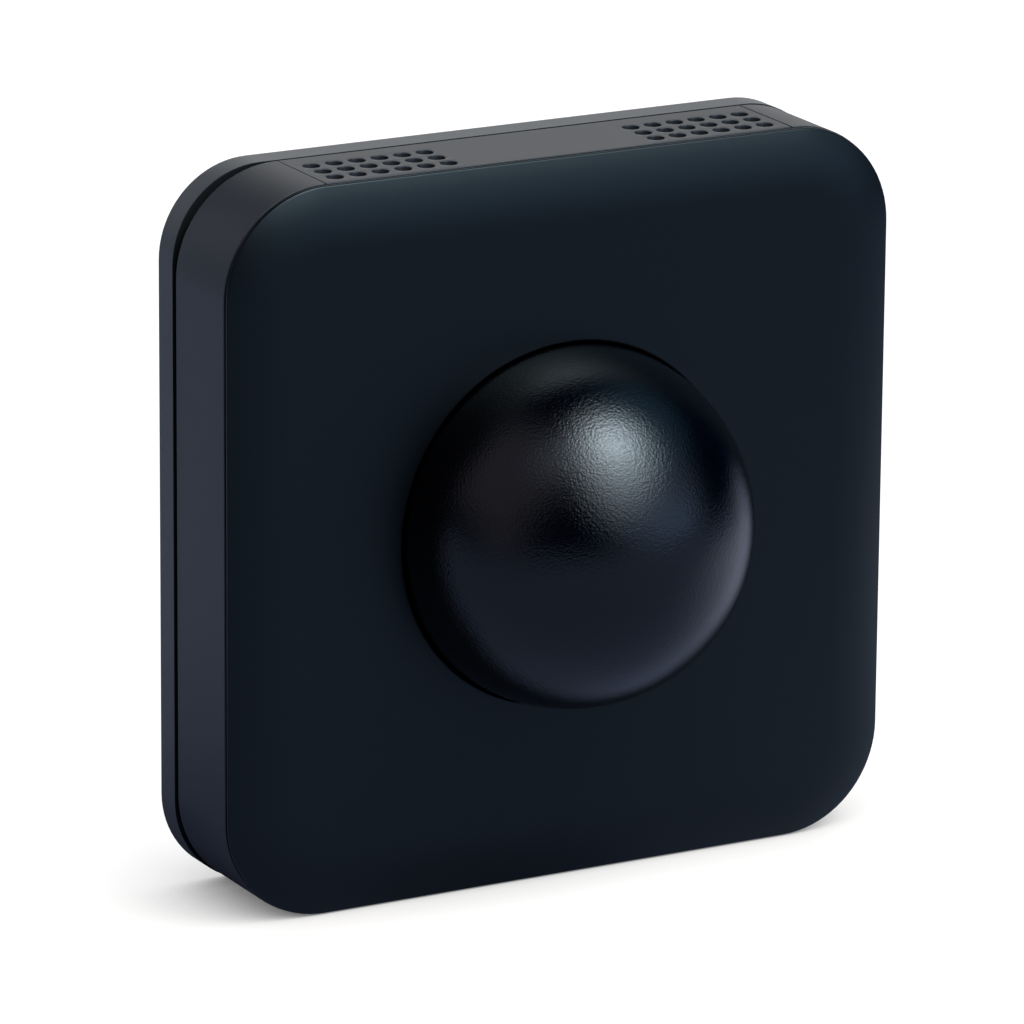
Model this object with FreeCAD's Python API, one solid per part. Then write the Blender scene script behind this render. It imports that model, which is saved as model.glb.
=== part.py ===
import FreeCAD, Part
import os
from math import sqrt

os.makedirs("parts", exist_ok=True)
Vector = FreeCAD.Vector

# Room temperature sensor with a black half globe, for a flush wall box.
# The wall face is y = 0, the front looks along -Y and Z is up.
# A depth is the distance from the wall, so a depth d lies at y = -d.

# Housing outline
front_width = 84.5
front_corner = 12.25
frame_depth = 11.8
frame_wall = 2.0
rim_break = 0.1

# Wall plate
plate_inset = 0.3
plate_corner = 10.8
plate_thick = 3.6
shadow_gap = 1.4
collar_height = 3.6
collar_wall = 1.6
collar_clear = 0.2
cable_open_width = 32.0
cable_open_height = 24.0
cable_open_corner = 3.0
box_screw_spacing = 60.0
slot_width = 3.8
slot_length = 8.0
head_recess_width = 7.8
head_recess_depth = 1.2
back_rim = 4.95
back_pocket_corner = 7.0
back_pocket_depth = 0.8
back_rib_width = 13.0
opening_land = 3.0
finger_width = 12.0
finger_slit = 1.0
snap_rib_radius = 1.2
snap_rib_height = 0.15
snap_rib_length = 8.0
snap_rib_forward = 2.2
pry_notch_width = 9.0
pry_notch_height = 1.8
pry_notch_depth = 1.0

# Ledge inside the frame on which the collar seats
ledge_width = 1.7
ledge_thick = 1.5

# Vent strips let into the top and bottom of the frame
strip_inset = 12.5
strip_thick = 1.2
strip_clear = 0.1
vent_radius = 1.0
vent_pitch = 2.84
vent_columns = 6
vent_rows = 3
vent_group_inset = 9.45
vent_centre_depth = 11.7
window_margin = 1.5

# Front cover
cover_inset = 0.1
cover_seam = 0.3
seam_depth = 0.8
cover_edge = 0.35
crown_height = 1.5
crown_width = 7.5
cover_wall = 1.6
lip_clear = 0.15
lip_wall = 1.25
lip_height = 1.2
board_boss_radius = 3.0
pilot_depth = 3.2
pilot_spare = 0.5
ring_pilot_bite = 0.5

# Half globe
globe_radius = 20.9
globe_wall = 1.2
globe_rise = 0.2
globe_clear = 0.2
opening_chamfer = 0.3
flange_width = 2.0
flange_thick = 1.2
gasket_thick = 0.5
gasket_clear = 0.2
ring_thick = 1.5
ring_reach = 2.0
ring_boss_radius = 2.0
ring_boss_gap = 0.3

# Screws
screw_radius = 1.0
screw_clear = 0.1
pilot_clear = 0.05
ring_head_radius = 1.8
ring_head_height = 0.9
board_head_radius = 1.9
board_head_height = 1.4
drive_width = 0.5
drive_depth = 0.5

# Main board
board_side_gap = 3.85
board_top_gap = 5.85
board_bottom_gap = 9.25
board_thick = 1.6
board_corner = 2.0
board_gap = 1.5
board_screw_inset = 4.0

# Globe probe
stem_flange_radius = 4.5
stem_flange_thick = 1.0
stem_radius = 2.2
stem_bore = 1.4
stem_length = 14.0
probe_radius = 1.3
probe_length = 3.6
probe_seat = 0.8
lead_radius = 0.25
lead_offset = 0.6

# Air sensor below the main board
air_board_width = 16.0
air_board_height = 7.6
air_board_thick = 1.6
air_board_gap = 0.8
air_chip_size = 3.0
air_chip_height = 1.1
air_port_radius = 0.5
air_port_depth = 0.4
bridge_pin_size = 0.6
bridge_pin_length = 4.0
bridge_pin_pitch = 2.54
bridge_pin_count = 4
duct_wall = 1.0
duct_ceiling = 0.5
duct_clear = 0.5
duct_board_clear = 0.1
duct_rear = 2.0

# Terminal block on the rear of the main board
pole_pitch = 3.81
pole_count = 5
terminal_height = 5.8
terminal_depth = 7.4
terminal_z = 6.5
terminal_end_wall = 0.6
entry_size = 2.6
entry_floor = 1.1
clamp_size = 2.3
clamp_length = 3.6
clamp_setback = 2.0
clamp_bore = 1.6
terminal_screw_radius = 1.3
terminal_screw_length = 1.6
terminal_screw_clear = 0.1
terminal_screw_sunk = 0.5

# Parts on the rear of the main board
chip_size = 7.0
chip_height = 1.0
chip_side_inset = 15.0
chip_bottom_inset = 15.6
transceiver_width = 5.0
transceiver_length = 4.0
transceiver_height = 1.5
transceiver_side_inset = 15.0
transceiver_bottom_inset = 19.6
regulator_width = 6.5
regulator_length = 3.5
regulator_height = 1.6
regulator_tab = 3.0
regulator_tab_thick = 0.4
regulator_side_inset = 14.0
regulator_top_inset = 19.0
can_radius = 3.15
can_height = 5.0
can_base = 6.6
can_base_height = 0.8
can_pitch = 8.0
can_side_inset = 13.0
can_top_inset = 17.0
led_width = 1.6
led_length = 3.2
led_height = 1.1
led_spacing = 6.5
key_x = 0.0
key_bottom_inset = 9.6
key_body = 6.0
key_body_height = 3.5
key_radius = 1.7
key_clear = 0.05
key_proud = 1.3
key_engaged = 0.9
key_travel = 0.3
key_bore_spare = 0.1

# How far a cutting body reaches past the surface it cuts, and when two places are one
overcut = 1.0
same_place = 1e-6

# Places that follow from the sizes above
half_front = front_width / 2
plate_width = front_width - 2 * plate_inset
back_pocket_width = plate_width - 2 * back_rim
strip_width = front_width - 2 * strip_inset
vent_group_x = strip_width / 2 - vent_group_inset
lip_outer = half_front - frame_wall - lip_clear
lip_inner = lip_outer - lip_wall
frame_back = plate_thick + shadow_gap
frame_front = frame_back + frame_depth
collar_front = plate_thick + collar_height
cover_face = frame_front + cover_seam + cover_edge + crown_height
cover_inner = cover_face - cover_wall
globe_centre = cover_face + globe_rise
flange_front = cover_inner - gasket_thick
flange_back = flange_front - flange_thick
ring_back = flange_back - ring_thick
board_front = ring_back - board_gap
board_back = board_front - board_thick
board_width = 2 * (lip_inner - board_side_gap)
board_top = lip_inner - board_top_gap
board_bottom = board_bottom_gap - lip_inner
air_board_x = -vent_group_x
board_screw_x = board_width / 2 - board_screw_inset
board_screw_zs = (board_top - board_screw_inset, board_bottom + board_screw_inset)
chip_x = chip_side_inset - board_width / 2
chip_z = board_bottom + chip_bottom_inset
transceiver_x = board_width / 2 - transceiver_side_inset
transceiver_z = board_bottom + transceiver_bottom_inset
regulator_x = board_width / 2 - regulator_side_inset
regulator_z = board_top - regulator_top_inset
can_x = can_side_inset - board_width / 2
can_z = board_top - can_top_inset
key_z = board_bottom + key_bottom_inset
key_body_back = board_back - key_body_height
globe_opening = globe_radius + globe_clear
flange_radius = globe_radius + flange_width
ring_inner = globe_radius - ring_reach
ring_screw_circle = flange_radius + ring_boss_gap + ring_boss_radius
ring_outer = ring_screw_circle + ring_boss_radius
ring_screw_offset = ring_screw_circle / sqrt(2)
ring_pilot_end = cover_inner + ring_pilot_bite
air_board_top = board_bottom - air_board_gap
air_board_bottom = air_board_top - air_board_height
air_board_z = (air_board_top + air_board_bottom) / 2
terminal_width = pole_count * pole_pitch + 2 * terminal_end_wall
terminal_back = board_back - terminal_height
terminal_bottom = terminal_z - terminal_depth / 2
entry_front = board_back - entry_floor
entry_back = entry_front - entry_size


def block(x0, x1, d0, d1, z0, z1):
    """Box between two depths."""
    return Part.makeBox(x1 - x0, d1 - d0, z1 - z0, Vector(x0, -d1, z0))


def centred_block(x, z, width, height, d0, d1):
    return block(x - width / 2, x + width / 2, d0, d1, z - height / 2, z + height / 2)


def disc(radius, d0, d1, x=0.0, z=0.0):
    """Cylinder along the depth."""
    return Part.makeCylinder(radius, d1 - d0, Vector(x, -d0, z), Vector(0, -1, 0))


def cone(r0, r1, d0, d1, x=0.0, z=0.0):
    return Part.makeCone(r0, r1, d1 - d0, Vector(x, -d0, z), Vector(0, -1, 0))


def outline(width, height, corner, depth, x=0.0, z=0.0):
    """Closed wire of a rectangle with round corners, in the plane of one depth."""
    y = -depth
    right, left = x + width / 2, x - width / 2
    top, bottom = z + height / 2, z - height / 2
    turn = corner * (1 - 1 / sqrt(2))
    corners = (
        (right, top, -1, -1),
        (left, top, 1, -1),
        (left, bottom, 1, 1),
        (right, bottom, -1, 1),
    )
    edges = []
    previous = None
    first = None
    for index, (cx, cz, sx, sz) in enumerate(corners):
        along_z = Vector(cx, y, cz + sz * corner)
        along_x = Vector(cx + sx * corner, y, cz)
        middle = Vector(cx + sx * turn, y, cz + sz * turn)
        start, end = (along_z, along_x) if index % 2 == 0 else (along_x, along_z)
        if previous is not None:
            edges.append(Part.makeLine(previous, start))
        else:
            first = start
        edges.append(Part.Arc(start, middle, end).toShape())
        previous = end
    edges.append(Part.makeLine(previous, first))
    return Part.Wire(edges)


def slab(width, height, corner, d0, d1, x=0.0, z=0.0):
    """Plate with round corners between two depths."""
    face = Part.Face(outline(width, height, corner, d0, x, z))
    return face.extrude(Vector(0, d0 - d1, 0))


def slot(x, z, width, length, along, d0, d1):
    """Slot with round ends, running along X or Z."""
    reach = (length - width) / 2
    if along == "x":
        middle = centred_block(x, z, 2 * reach, width, d0, d1)
        ends = [disc(width / 2, d0, d1, x + side * reach, z) for side in (-1, 1)]
    else:
        middle = centred_block(x, z, width, 2 * reach, d0, d1)
        ends = [disc(width / 2, d0, d1, x, z + side * reach) for side in (-1, 1)]
    return fused([middle] + ends)


def broken_rims(shape, depths):
    """Breaks the outer edges of a plate that lie at the given depths by a small chamfer."""
    edges = []
    for edge in shape.Edges:
        box = edge.BoundBox
        flat = box.YLength < same_place
        if flat and any(abs(box.YMax + depth) < same_place for depth in depths):
            edges.append(edge)
    return shape.makeChamfer(rim_break, edges)


def revolved(points, arcs=()):
    """Solid of revolution about the depth axis through the origin.

    points is a list of (radius, depth); arcs maps the index of a segment's first
    point to a point on the way, which makes that segment an arc.
    """
    through = dict(arcs)
    edges = []
    for index, (r, d) in enumerate(points):
        r2, d2 = points[(index + 1) % len(points)]
        start, end = Vector(r, -d, 0), Vector(r2, -d2, 0)
        if index in through:
            rm, dm = through[index]
            edges.append(Part.Arc(start, Vector(rm, -dm, 0), end).toShape())
        else:
            edges.append(Part.makeLine(start, end))
    return Part.Face(Part.Wire(edges)).revolve(Vector(0, 0, 0), Vector(0, 1, 0), 360)


def fused(shapes):
    first, rest = shapes[0], shapes[1:]
    return first.multiFuse(rest).removeSplitter() if rest else first


def ring(width_out, corner_out, width_in, corner_in, d0, d1):
    outer = slab(width_out, width_out, corner_out, d0, d1)
    inner = slab(width_in, width_in, corner_in, d0, d1)
    return outer.cut(inner)


def vent_places():
    """Centres of the vent holes as (x, depth)."""
    places = []
    for side in (-1, 1):
        for column in range(vent_columns):
            x = side * vent_group_x + (column - (vent_columns - 1) / 2) * vent_pitch
            for row in range(vent_rows):
                depth = vent_centre_depth + (row - (vent_rows - 1) / 2) * vent_pitch
                places.append((x, depth))
    return places


def screw(x, z, head_back, head_front, shank_front, head_radius, countersunk):
    """Screw driven from the rear."""
    if countersunk:
        head = cone(head_radius, screw_radius, head_back, head_front, x, z)
    else:
        head = disc(head_radius, head_back, head_front, x, z)
    shank = disc(screw_radius, head_front, shank_front, x, z)
    return fused([head, shank])


# Wall plate: moulded plate with a collar that the frame pushes over
def wall_plate():
    plate = slab(plate_width, plate_width, plate_corner, 0, plate_thick)
    plate = broken_rims(plate, (0, plate_thick))
    collar_out = front_width - 2 * (frame_wall + collar_clear)
    corner_out = front_corner - frame_wall - collar_clear
    collar_in = collar_out - 2 * collar_wall
    collar = ring(collar_out, corner_out, collar_in, corner_out - collar_wall, plate_thick, collar_front)
    half_out = collar_out / 2
    half_in = collar_in / 2
    slit_x = (finger_width + finger_slit) / 2
    rib_z = half_out + snap_rib_height - snap_rib_radius
    rib_base = Vector(-snap_rib_length / 2, -(plate_thick + snap_rib_forward), rib_z)
    rib_room = block(-finger_width, finger_width, plate_thick, collar_front, half_in, half_out + overcut)
    for turn in range(4):
        for side in (-1, 1):
            x0, x1 = side * slit_x - finger_slit / 2, side * slit_x + finger_slit / 2
            cut = block(x0, x1, plate_thick, collar_front, half_in - overcut, half_out + overcut)
            cut.rotate(Vector(0, 0, 0), Vector(0, 1, 0), 90 * turn)
            collar = collar.cut(cut)
        rib = Part.makeCylinder(snap_rib_radius, snap_rib_length, rib_base, Vector(1, 0, 0))
        rib = rib.common(rib_room)
        rib.rotate(Vector(0, 0, 0), Vector(0, 1, 0), 90 * turn)
        collar = collar.fuse(rib)
    plate = plate.fuse(collar).removeSplitter()
    plate = plate.cut(slab(cable_open_width, cable_open_height, cable_open_corner, 0, plate_thick))
    half_spacing = box_screw_spacing / 2
    recess_length = slot_length + head_recess_width - slot_width
    recess_back = plate_thick - head_recess_depth
    for x, z, along in (
        (half_spacing, 0, "x"),
        (-half_spacing, 0, "x"),
        (0, half_spacing, "z"),
        (0, -half_spacing, "z"),
    ):
        plate = plate.cut(slot(x, z, slot_width, slot_length, along, 0, plate_thick))
        plate = plate.cut(slot(x, z, head_recess_width, recess_length, along, recess_back, plate_thick))
    pocket = slab(back_pocket_width, back_pocket_width, back_pocket_corner, 0, back_pocket_depth)
    reach = back_pocket_width
    pocket = pocket.cut(centred_block(0, 0, back_rib_width, reach, 0, back_pocket_depth))
    pocket = pocket.cut(centred_block(0, 0, reach, back_rib_width, 0, back_pocket_depth))
    land_width = cable_open_width + 2 * opening_land
    land_height = cable_open_height + 2 * opening_land
    land_corner = cable_open_corner + opening_land
    pocket = pocket.cut(slab(land_width, land_height, land_corner, 0, back_pocket_depth))
    plate = plate.cut(pocket)
    notch_top = -plate_width / 2 + pry_notch_depth
    notch_back = plate_thick - pry_notch_height
    half_notch = pry_notch_width / 2
    return plate.cut(block(-half_notch, half_notch, notch_back, plate_thick, -half_front, notch_top))


def frame_blank():
    """Outer form of the frame, filled."""
    blank = slab(front_width, front_width, front_corner, frame_back, frame_front)
    return broken_rims(blank, (frame_back, frame_front))


def strip_seat(side):
    """Space of one vent strip with its clearance, at the top (1) or bottom (-1)."""
    z0, z1 = half_front - strip_thick, half_front + overcut
    if side < 0:
        z0, z1 = -z1, -z0
    d0, d1 = frame_back - overcut, frame_front + overcut
    return block(-strip_width / 2, strip_width / 2, d0, d1, z0, z1)


# Frame: the moulded side walls, open at the front and back
def frame():
    inner_width = front_width - 2 * frame_wall
    inner_corner = front_corner - frame_wall
    body = frame_blank().cut(slab(inner_width, inner_width, inner_corner, frame_back, frame_front))
    ledge_in = inner_width - 2 * ledge_width
    ledge_corner = inner_corner - ledge_width
    ledge = ring(inner_width, inner_corner, ledge_in, ledge_corner, collar_front, collar_front + ledge_thick)
    keep_out = strip_width + 2 * strip_clear
    ledge = ledge.cut(centred_block(0, 0, keep_out, front_width, collar_front, collar_front + ledge_thick))
    body = body.fuse(ledge).removeSplitter()
    half_rows = (vent_rows - 1) / 2 * vent_pitch + window_margin
    half_columns = (vent_columns - 1) / 2 * vent_pitch + window_margin
    wall_inside = half_front - frame_wall - overcut
    d0, d1 = vent_centre_depth - half_rows, vent_centre_depth + half_rows
    for side in (-1, 1):
        body = body.cut(strip_seat(side))
        z0, z1 = sorted((side * half_front, side * wall_inside))
        for group in (-1, 1):
            x = group * vent_group_x
            body = body.cut(block(x - half_columns, x + half_columns, d0, d1, z0, z1))
    return body


# Vent strip: a flat insert with two groups of round holes
def vent_strip(side):
    seat = strip_seat(side)
    strip = frame_blank().common(seat)
    ends = strip_width / 2 - strip_clear
    strip = strip.common(block(-ends, ends, frame_back, frame_front, -half_front, half_front))
    drills = []
    for x, depth in vent_places():
        base = Vector(x, -depth, side * (half_front - strip_thick - overcut))
        drill = Part.makeCylinder(vent_radius, strip_thick + 2 * overcut, base, Vector(0, 0, side))
        drills.append(drill)
    return strip.cut(Part.makeCompound(drills))


def cover_profile():
    """Section of the cover's edge on the +X side, in the plane z = 0.

    The crown is one arc that meets the flat face without a step.
    """
    outer = half_front - cover_inset
    seam_top = frame_front + cover_seam
    edge_top = seam_top + cover_edge
    crown_start = half_front - crown_width
    span = outer - crown_start
    crown_radius = (span ** 2 + crown_height ** 2) / (2 * crown_height)
    half_span = span / 2
    middle_drop = crown_radius - sqrt(crown_radius ** 2 - half_span ** 2)
    seat_x = outer - seam_depth
    lip_back = frame_front - lip_height
    points = [
        (crown_start, cover_face),
        (outer, edge_top),
        (outer, seam_top),
        (seat_x, seam_top),
        (seat_x, frame_front),
        (lip_outer, frame_front),
        (lip_outer, lip_back),
        (lip_inner, lip_back),
        (lip_inner, cover_inner),
        (crown_start, cover_inner),
    ]
    edges = []
    for index, (x, d) in enumerate(points):
        x2, d2 = points[(index + 1) % len(points)]
        start, end = Vector(x, -d, 0), Vector(x2, -d2, 0)
        if index == 0:
            middle = Vector(crown_start + half_span, -(cover_face - middle_drop), 0)
            edges.append(Part.Arc(start, middle, end).toShape())
        else:
            edges.append(Part.makeLine(start, end))
    return Part.Face(Part.Wire(edges))


# Front cover: crowned moulded plate with the opening for the globe
def front_cover():
    straight = front_width - 2 * front_corner
    corner = half_front - front_corner
    profile = cover_profile()
    side_face = profile.copy()
    side_face.translate(Vector(0, 0, -straight / 2))
    side = side_face.extrude(Vector(0, 0, straight))
    turn_face = profile.copy()
    turn_face.translate(Vector(0, 0, corner))
    turn = turn_face.revolve(Vector(corner, 0, corner), Vector(0, -1, 0), 90)
    pieces = []
    for quarter in range(4):
        for piece in (side, turn):
            copy = piece.copy()
            copy.rotate(Vector(0, 0, 0), Vector(0, 1, 0), 90 * quarter)
            pieces.append(copy)
    flat_width = front_width - 2 * crown_width
    pieces.append(slab(flat_width, flat_width, front_corner - crown_width, cover_inner, cover_face))
    for x in (-board_screw_x, board_screw_x):
        for z in board_screw_zs:
            pieces.append(disc(board_boss_radius, board_front, cover_inner, x, z))
    for x in (-ring_screw_offset, ring_screw_offset):
        for z in (-ring_screw_offset, ring_screw_offset):
            pieces.append(disc(ring_boss_radius, flange_back, cover_inner, x, z))
    cover = fused(pieces)
    cover = cover.cut(disc(globe_opening, cover_inner - overcut, cover_face + overcut))
    chamfer_radius = globe_opening + opening_chamfer
    cover = cover.cut(cone(globe_opening, chamfer_radius, cover_face - opening_chamfer, cover_face))
    pilot_radius = screw_radius + pilot_clear
    for x in (-board_screw_x, board_screw_x):
        for z in board_screw_zs:
            cover = cover.cut(disc(pilot_radius, board_front, board_front + pilot_depth, x, z))
    for x in (-ring_screw_offset, ring_screw_offset):
        for z in (-ring_screw_offset, ring_screw_offset):
            cover = cover.cut(disc(pilot_radius, flange_back, ring_pilot_end, x, z))
    return cover


# Half globe: thin dark shell with a flange behind the cover
def globe():
    inner = globe_radius - globe_wall
    half = 1 / sqrt(2)
    points = [
        (0, globe_centre + globe_radius),
        (globe_radius, globe_centre),
        (globe_radius, flange_front),
        (flange_radius, flange_front),
        (flange_radius, flange_back),
        (inner, flange_back),
        (inner, globe_centre),
        (0, globe_centre + inner),
    ]
    arcs = {
        0: (globe_radius * half, globe_centre + globe_radius * half),
        6: (inner * half, globe_centre + inner * half),
    }
    return revolved(points, arcs)


def globe_gasket():
    outer = disc(flange_radius, flange_front, cover_inner)
    return outer.cut(disc(globe_opening + gasket_clear, flange_front, cover_inner))


def clamp_ring():
    body = disc(ring_outer, ring_back, flange_back).cut(disc(ring_inner, ring_back, flange_back))
    sink_front = ring_back + ring_head_height
    hole = screw_radius + screw_clear
    for x in (-ring_screw_offset, ring_screw_offset):
        for z in (-ring_screw_offset, ring_screw_offset):
            body = body.cut(disc(hole, ring_back, flange_back, x, z))
            sink = cone(ring_head_radius + screw_clear, hole, ring_back, sink_front, x, z)
            body = body.cut(sink)
    return body


def clamp_ring_screws():
    screws = []
    for x in (-ring_screw_offset, ring_screw_offset):
        for z in (-ring_screw_offset, ring_screw_offset):
            head_front = ring_back + ring_head_height
            tip = ring_pilot_end - pilot_spare
            screws.append(screw(x, z, ring_back, head_front, tip, ring_head_radius, True))
    return Part.makeCompound(screws)


def main_board():
    height = board_top - board_bottom
    middle = (board_top + board_bottom) / 2
    board = slab(board_width, height, board_corner, board_back, board_front, 0, middle)
    hole = screw_radius + screw_clear
    for x in (-board_screw_x, board_screw_x):
        for z in board_screw_zs:
            board = board.cut(disc(hole, board_back, board_front, x, z))
    return board


def board_screws():
    screws = []
    head_back = board_back - board_head_height
    tip = board_front + pilot_depth - pilot_spare
    for x in (-board_screw_x, board_screw_x):
        for z in board_screw_zs:
            screws.append(screw(x, z, head_back, board_back, tip, board_head_radius, False))
    return Part.makeCompound(screws)


def probe_stem():
    tip = board_front + stem_length
    flange_top = board_front + stem_flange_thick
    points = [
        (stem_bore, board_front),
        (stem_flange_radius, board_front),
        (stem_flange_radius, flange_top),
        (stem_radius, flange_top),
        (stem_radius, tip),
        (stem_bore, tip),
    ]
    return revolved(points)


def globe_probe():
    base = board_front + stem_length - probe_seat
    shoulder = base + probe_length - probe_radius
    half = probe_radius / sqrt(2)
    points = [
        (0, base),
        (probe_radius, base),
        (probe_radius, shoulder),
        (0, shoulder + probe_radius),
    ]
    return revolved(points, {2: (half, shoulder + half)})


def probe_leads():
    base = board_front + stem_length - probe_seat
    leads = [disc(lead_radius, board_front, base, x) for x in (-lead_offset, lead_offset)]
    return Part.makeCompound(leads)


# Air sensor: a small board in the lower air stream, bridged to the main board
def air_sensor_board():
    back = board_front - air_board_thick
    width, height = air_board_width, air_board_height
    return centred_block(air_board_x, air_board_z, width, height, back, board_front)


def air_sensor_chip():
    front = board_front + air_chip_height
    size = air_chip_size
    chip = centred_block(air_board_x, air_board_z, size, size, board_front, front)
    return chip.cut(disc(air_port_radius, front - air_port_depth, front, air_board_x, air_board_z))


def bridge_pins():
    pins = []
    middle = (board_bottom + air_board_top) / 2
    front = board_front + bridge_pin_size
    for index in range(bridge_pin_count):
        x = air_board_x + (index - (bridge_pin_count - 1) / 2) * bridge_pin_pitch
        pin = centred_block(x, middle, bridge_pin_size, bridge_pin_length, board_front, front)
        pins.append(pin)
    return Part.makeCompound(pins)


def air_duct():
    """Three thin walls that keep the warm air of the main board from the air sensor."""
    half_width = air_board_width / 2 + duct_clear + duct_wall
    rear = board_back - duct_rear
    ceiling_top = (board_bottom + air_board_top + duct_ceiling) / 2
    ceiling_bottom = ceiling_top - duct_ceiling
    floor = duct_clear - lip_inner
    walls = []
    for side in (-1, 1):
        outer = air_board_x + side * half_width
        x0, x1 = sorted((outer, outer - side * duct_wall))
        walls.append(block(x0, x1, rear, cover_inner, floor, ceiling_top))
    pin_side = board_front + bridge_pin_size + duct_board_clear
    board_side = board_back - duct_board_clear
    left, right = air_board_x - half_width, air_board_x + half_width
    walls.append(block(left, right, pin_side, cover_inner, ceiling_bottom, ceiling_top))
    walls.append(block(left, right, rear, board_side, ceiling_bottom, ceiling_top))
    return fused(walls)


# Terminal block: five poles, wires from below, screws from the rear
def pole_places():
    return [(index - (pole_count - 1) / 2) * pole_pitch for index in range(pole_count)]


def terminal_block():
    body = centred_block(0, terminal_z, terminal_width, terminal_depth, terminal_back, board_back)
    half = entry_size / 2
    entry_end = terminal_bottom + clamp_setback + clamp_length
    screw_hole = terminal_screw_radius + terminal_screw_clear
    for x in pole_places():
        entry = block(x - half, x + half, entry_back, entry_front, terminal_bottom, entry_end)
        body = body.cut(entry)
        body = body.cut(disc(screw_hole, terminal_back, entry_back, x, terminal_z))
    return body


def terminal_clamps():
    middle = (entry_back + entry_front) / 2
    z0 = terminal_bottom + clamp_setback
    z1 = z0 + clamp_length
    outer, inner = clamp_size / 2, clamp_bore / 2
    clamps = []
    for x in pole_places():
        cage = block(x - outer, x + outer, middle - outer, middle + outer, z0, z1)
        bore = block(x - inner, x + inner, middle - inner, middle + inner, z0, z1)
        clamps.append(cage.cut(bore))
    return Part.makeCompound(clamps)


def terminal_screws():
    screws = []
    for x in pole_places():
        back = terminal_back + terminal_screw_sunk
        body = disc(terminal_screw_radius, back, back + terminal_screw_length, x, terminal_z)
        length = 2 * terminal_screw_radius
        drive = centred_block(x, terminal_z, length, drive_width, back, back + drive_depth)
        screws.append(body.cut(drive))
    return Part.makeCompound(screws)


def microcontroller():
    back = board_back - chip_height
    return centred_block(chip_x, chip_z, chip_size, chip_size, back, board_back)


def bus_transceiver():
    back = board_back - transceiver_height
    x, z = transceiver_x, transceiver_z
    return centred_block(x, z, transceiver_width, transceiver_length, back, board_back)


def voltage_regulator():
    back = board_back - regulator_height
    x, z = regulator_x, regulator_z
    body = centred_block(x, z, regulator_width, regulator_length, back, board_back)
    tab_z = z + (regulator_length + regulator_tab) / 2
    tab_back = board_back - regulator_tab_thick
    tab = centred_block(x, tab_z, regulator_tab, regulator_tab, tab_back, board_back)
    return fused([body, tab])


def filter_capacitors():
    cans = []
    for side in (-1, 1):
        x = can_x + side * can_pitch / 2
        base_back = board_back - can_base_height
        base = centred_block(x, can_z, can_base, can_base, base_back, board_back)
        can = disc(can_radius, base_back - can_height + can_base_height, base_back, x, can_z)
        cans.append(fused([base, can]))
    return Part.makeCompound(cans)


def status_led():
    back = board_back - led_height
    return centred_block(key_x + led_spacing, key_z, led_width, led_length, back, board_back)


# Learn key: short-travel push button on the rear of the board
def learn_key_body():
    body = centred_block(key_x, key_z, key_body, key_body, key_body_back, board_back)
    bore_front = key_body_back + key_engaged + key_travel + key_bore_spare
    return body.cut(disc(key_radius + key_clear, key_body_back, bore_front, key_x, key_z))


def learn_key():
    return disc(key_radius, key_body_back - key_proud, key_body_back + key_engaged, key_x, key_z)


pieces = {
    "wall_plate": wall_plate,
    "frame": frame,
    "top_vent_strip": lambda: vent_strip(1),
    "bottom_vent_strip": lambda: vent_strip(-1),
    "front_cover": front_cover,
    "globe": globe,
    "globe_gasket": globe_gasket,
    "clamp_ring": clamp_ring,
    "clamp_ring_screws": clamp_ring_screws,
    "main_board": main_board,
    "board_screws": board_screws,
    "probe_stem": probe_stem,
    "globe_probe": globe_probe,
    "probe_leads": probe_leads,
    "air_sensor_board": air_sensor_board,
    "air_sensor_chip": air_sensor_chip,
    "bridge_pins": bridge_pins,
    "air_duct": air_duct,
    "terminal_block": terminal_block,
    "terminal_clamps": terminal_clamps,
    "terminal_screws": terminal_screws,
    "microcontroller": microcontroller,
    "bus_transceiver": bus_transceiver,
    "voltage_regulator": voltage_regulator,
    "filter_capacitors": filter_capacitors,
    "status_led": status_led,
    "learn_key_body": learn_key_body,
    "learn_key": learn_key,
}

for name, make in pieces.items():
    shape = make()
    shape.exportStep("parts/" + name + ".step")
    print(name, len(shape.Solids), shape.isValid(), round(shape.Volume, 2))
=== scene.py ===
from math import ceil, cos, degrees, pi, radians, sin, sqrt, tan

import bmesh
import bpy
from mathutils import Matrix, Vector


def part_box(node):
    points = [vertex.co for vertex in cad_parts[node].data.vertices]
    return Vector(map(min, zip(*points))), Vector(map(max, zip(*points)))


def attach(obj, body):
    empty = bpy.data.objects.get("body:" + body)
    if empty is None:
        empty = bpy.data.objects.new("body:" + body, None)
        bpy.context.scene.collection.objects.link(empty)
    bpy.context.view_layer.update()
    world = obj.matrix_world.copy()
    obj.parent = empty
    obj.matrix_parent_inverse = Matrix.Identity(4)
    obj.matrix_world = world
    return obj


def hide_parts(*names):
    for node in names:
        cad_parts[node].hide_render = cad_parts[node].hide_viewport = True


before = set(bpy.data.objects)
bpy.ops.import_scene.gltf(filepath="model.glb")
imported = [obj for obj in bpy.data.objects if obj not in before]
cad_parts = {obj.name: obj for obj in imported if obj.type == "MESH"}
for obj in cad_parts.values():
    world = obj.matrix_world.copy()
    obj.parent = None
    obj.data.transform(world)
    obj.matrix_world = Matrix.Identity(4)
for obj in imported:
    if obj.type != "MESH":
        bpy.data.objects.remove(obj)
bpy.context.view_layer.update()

# Wall plate: the flat plate that is screwed to the flush box and carries the front unit.
# It is injection moulded in black ABS, with a slotted collar whose four sprung fingers
# hold the frame, four screw slots, an opening for the cable and hollowed corners behind.
MM = 0.001


def span(node):
    """Box of a solid in millimetres as (x0, x1, depth0, depth1, z0, z1), depth off the wall."""
    low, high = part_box(node)
    return low.x / MM, high.x / MM, -high.y / MM, -low.y / MM, low.z / MM, high.z / MM


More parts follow.
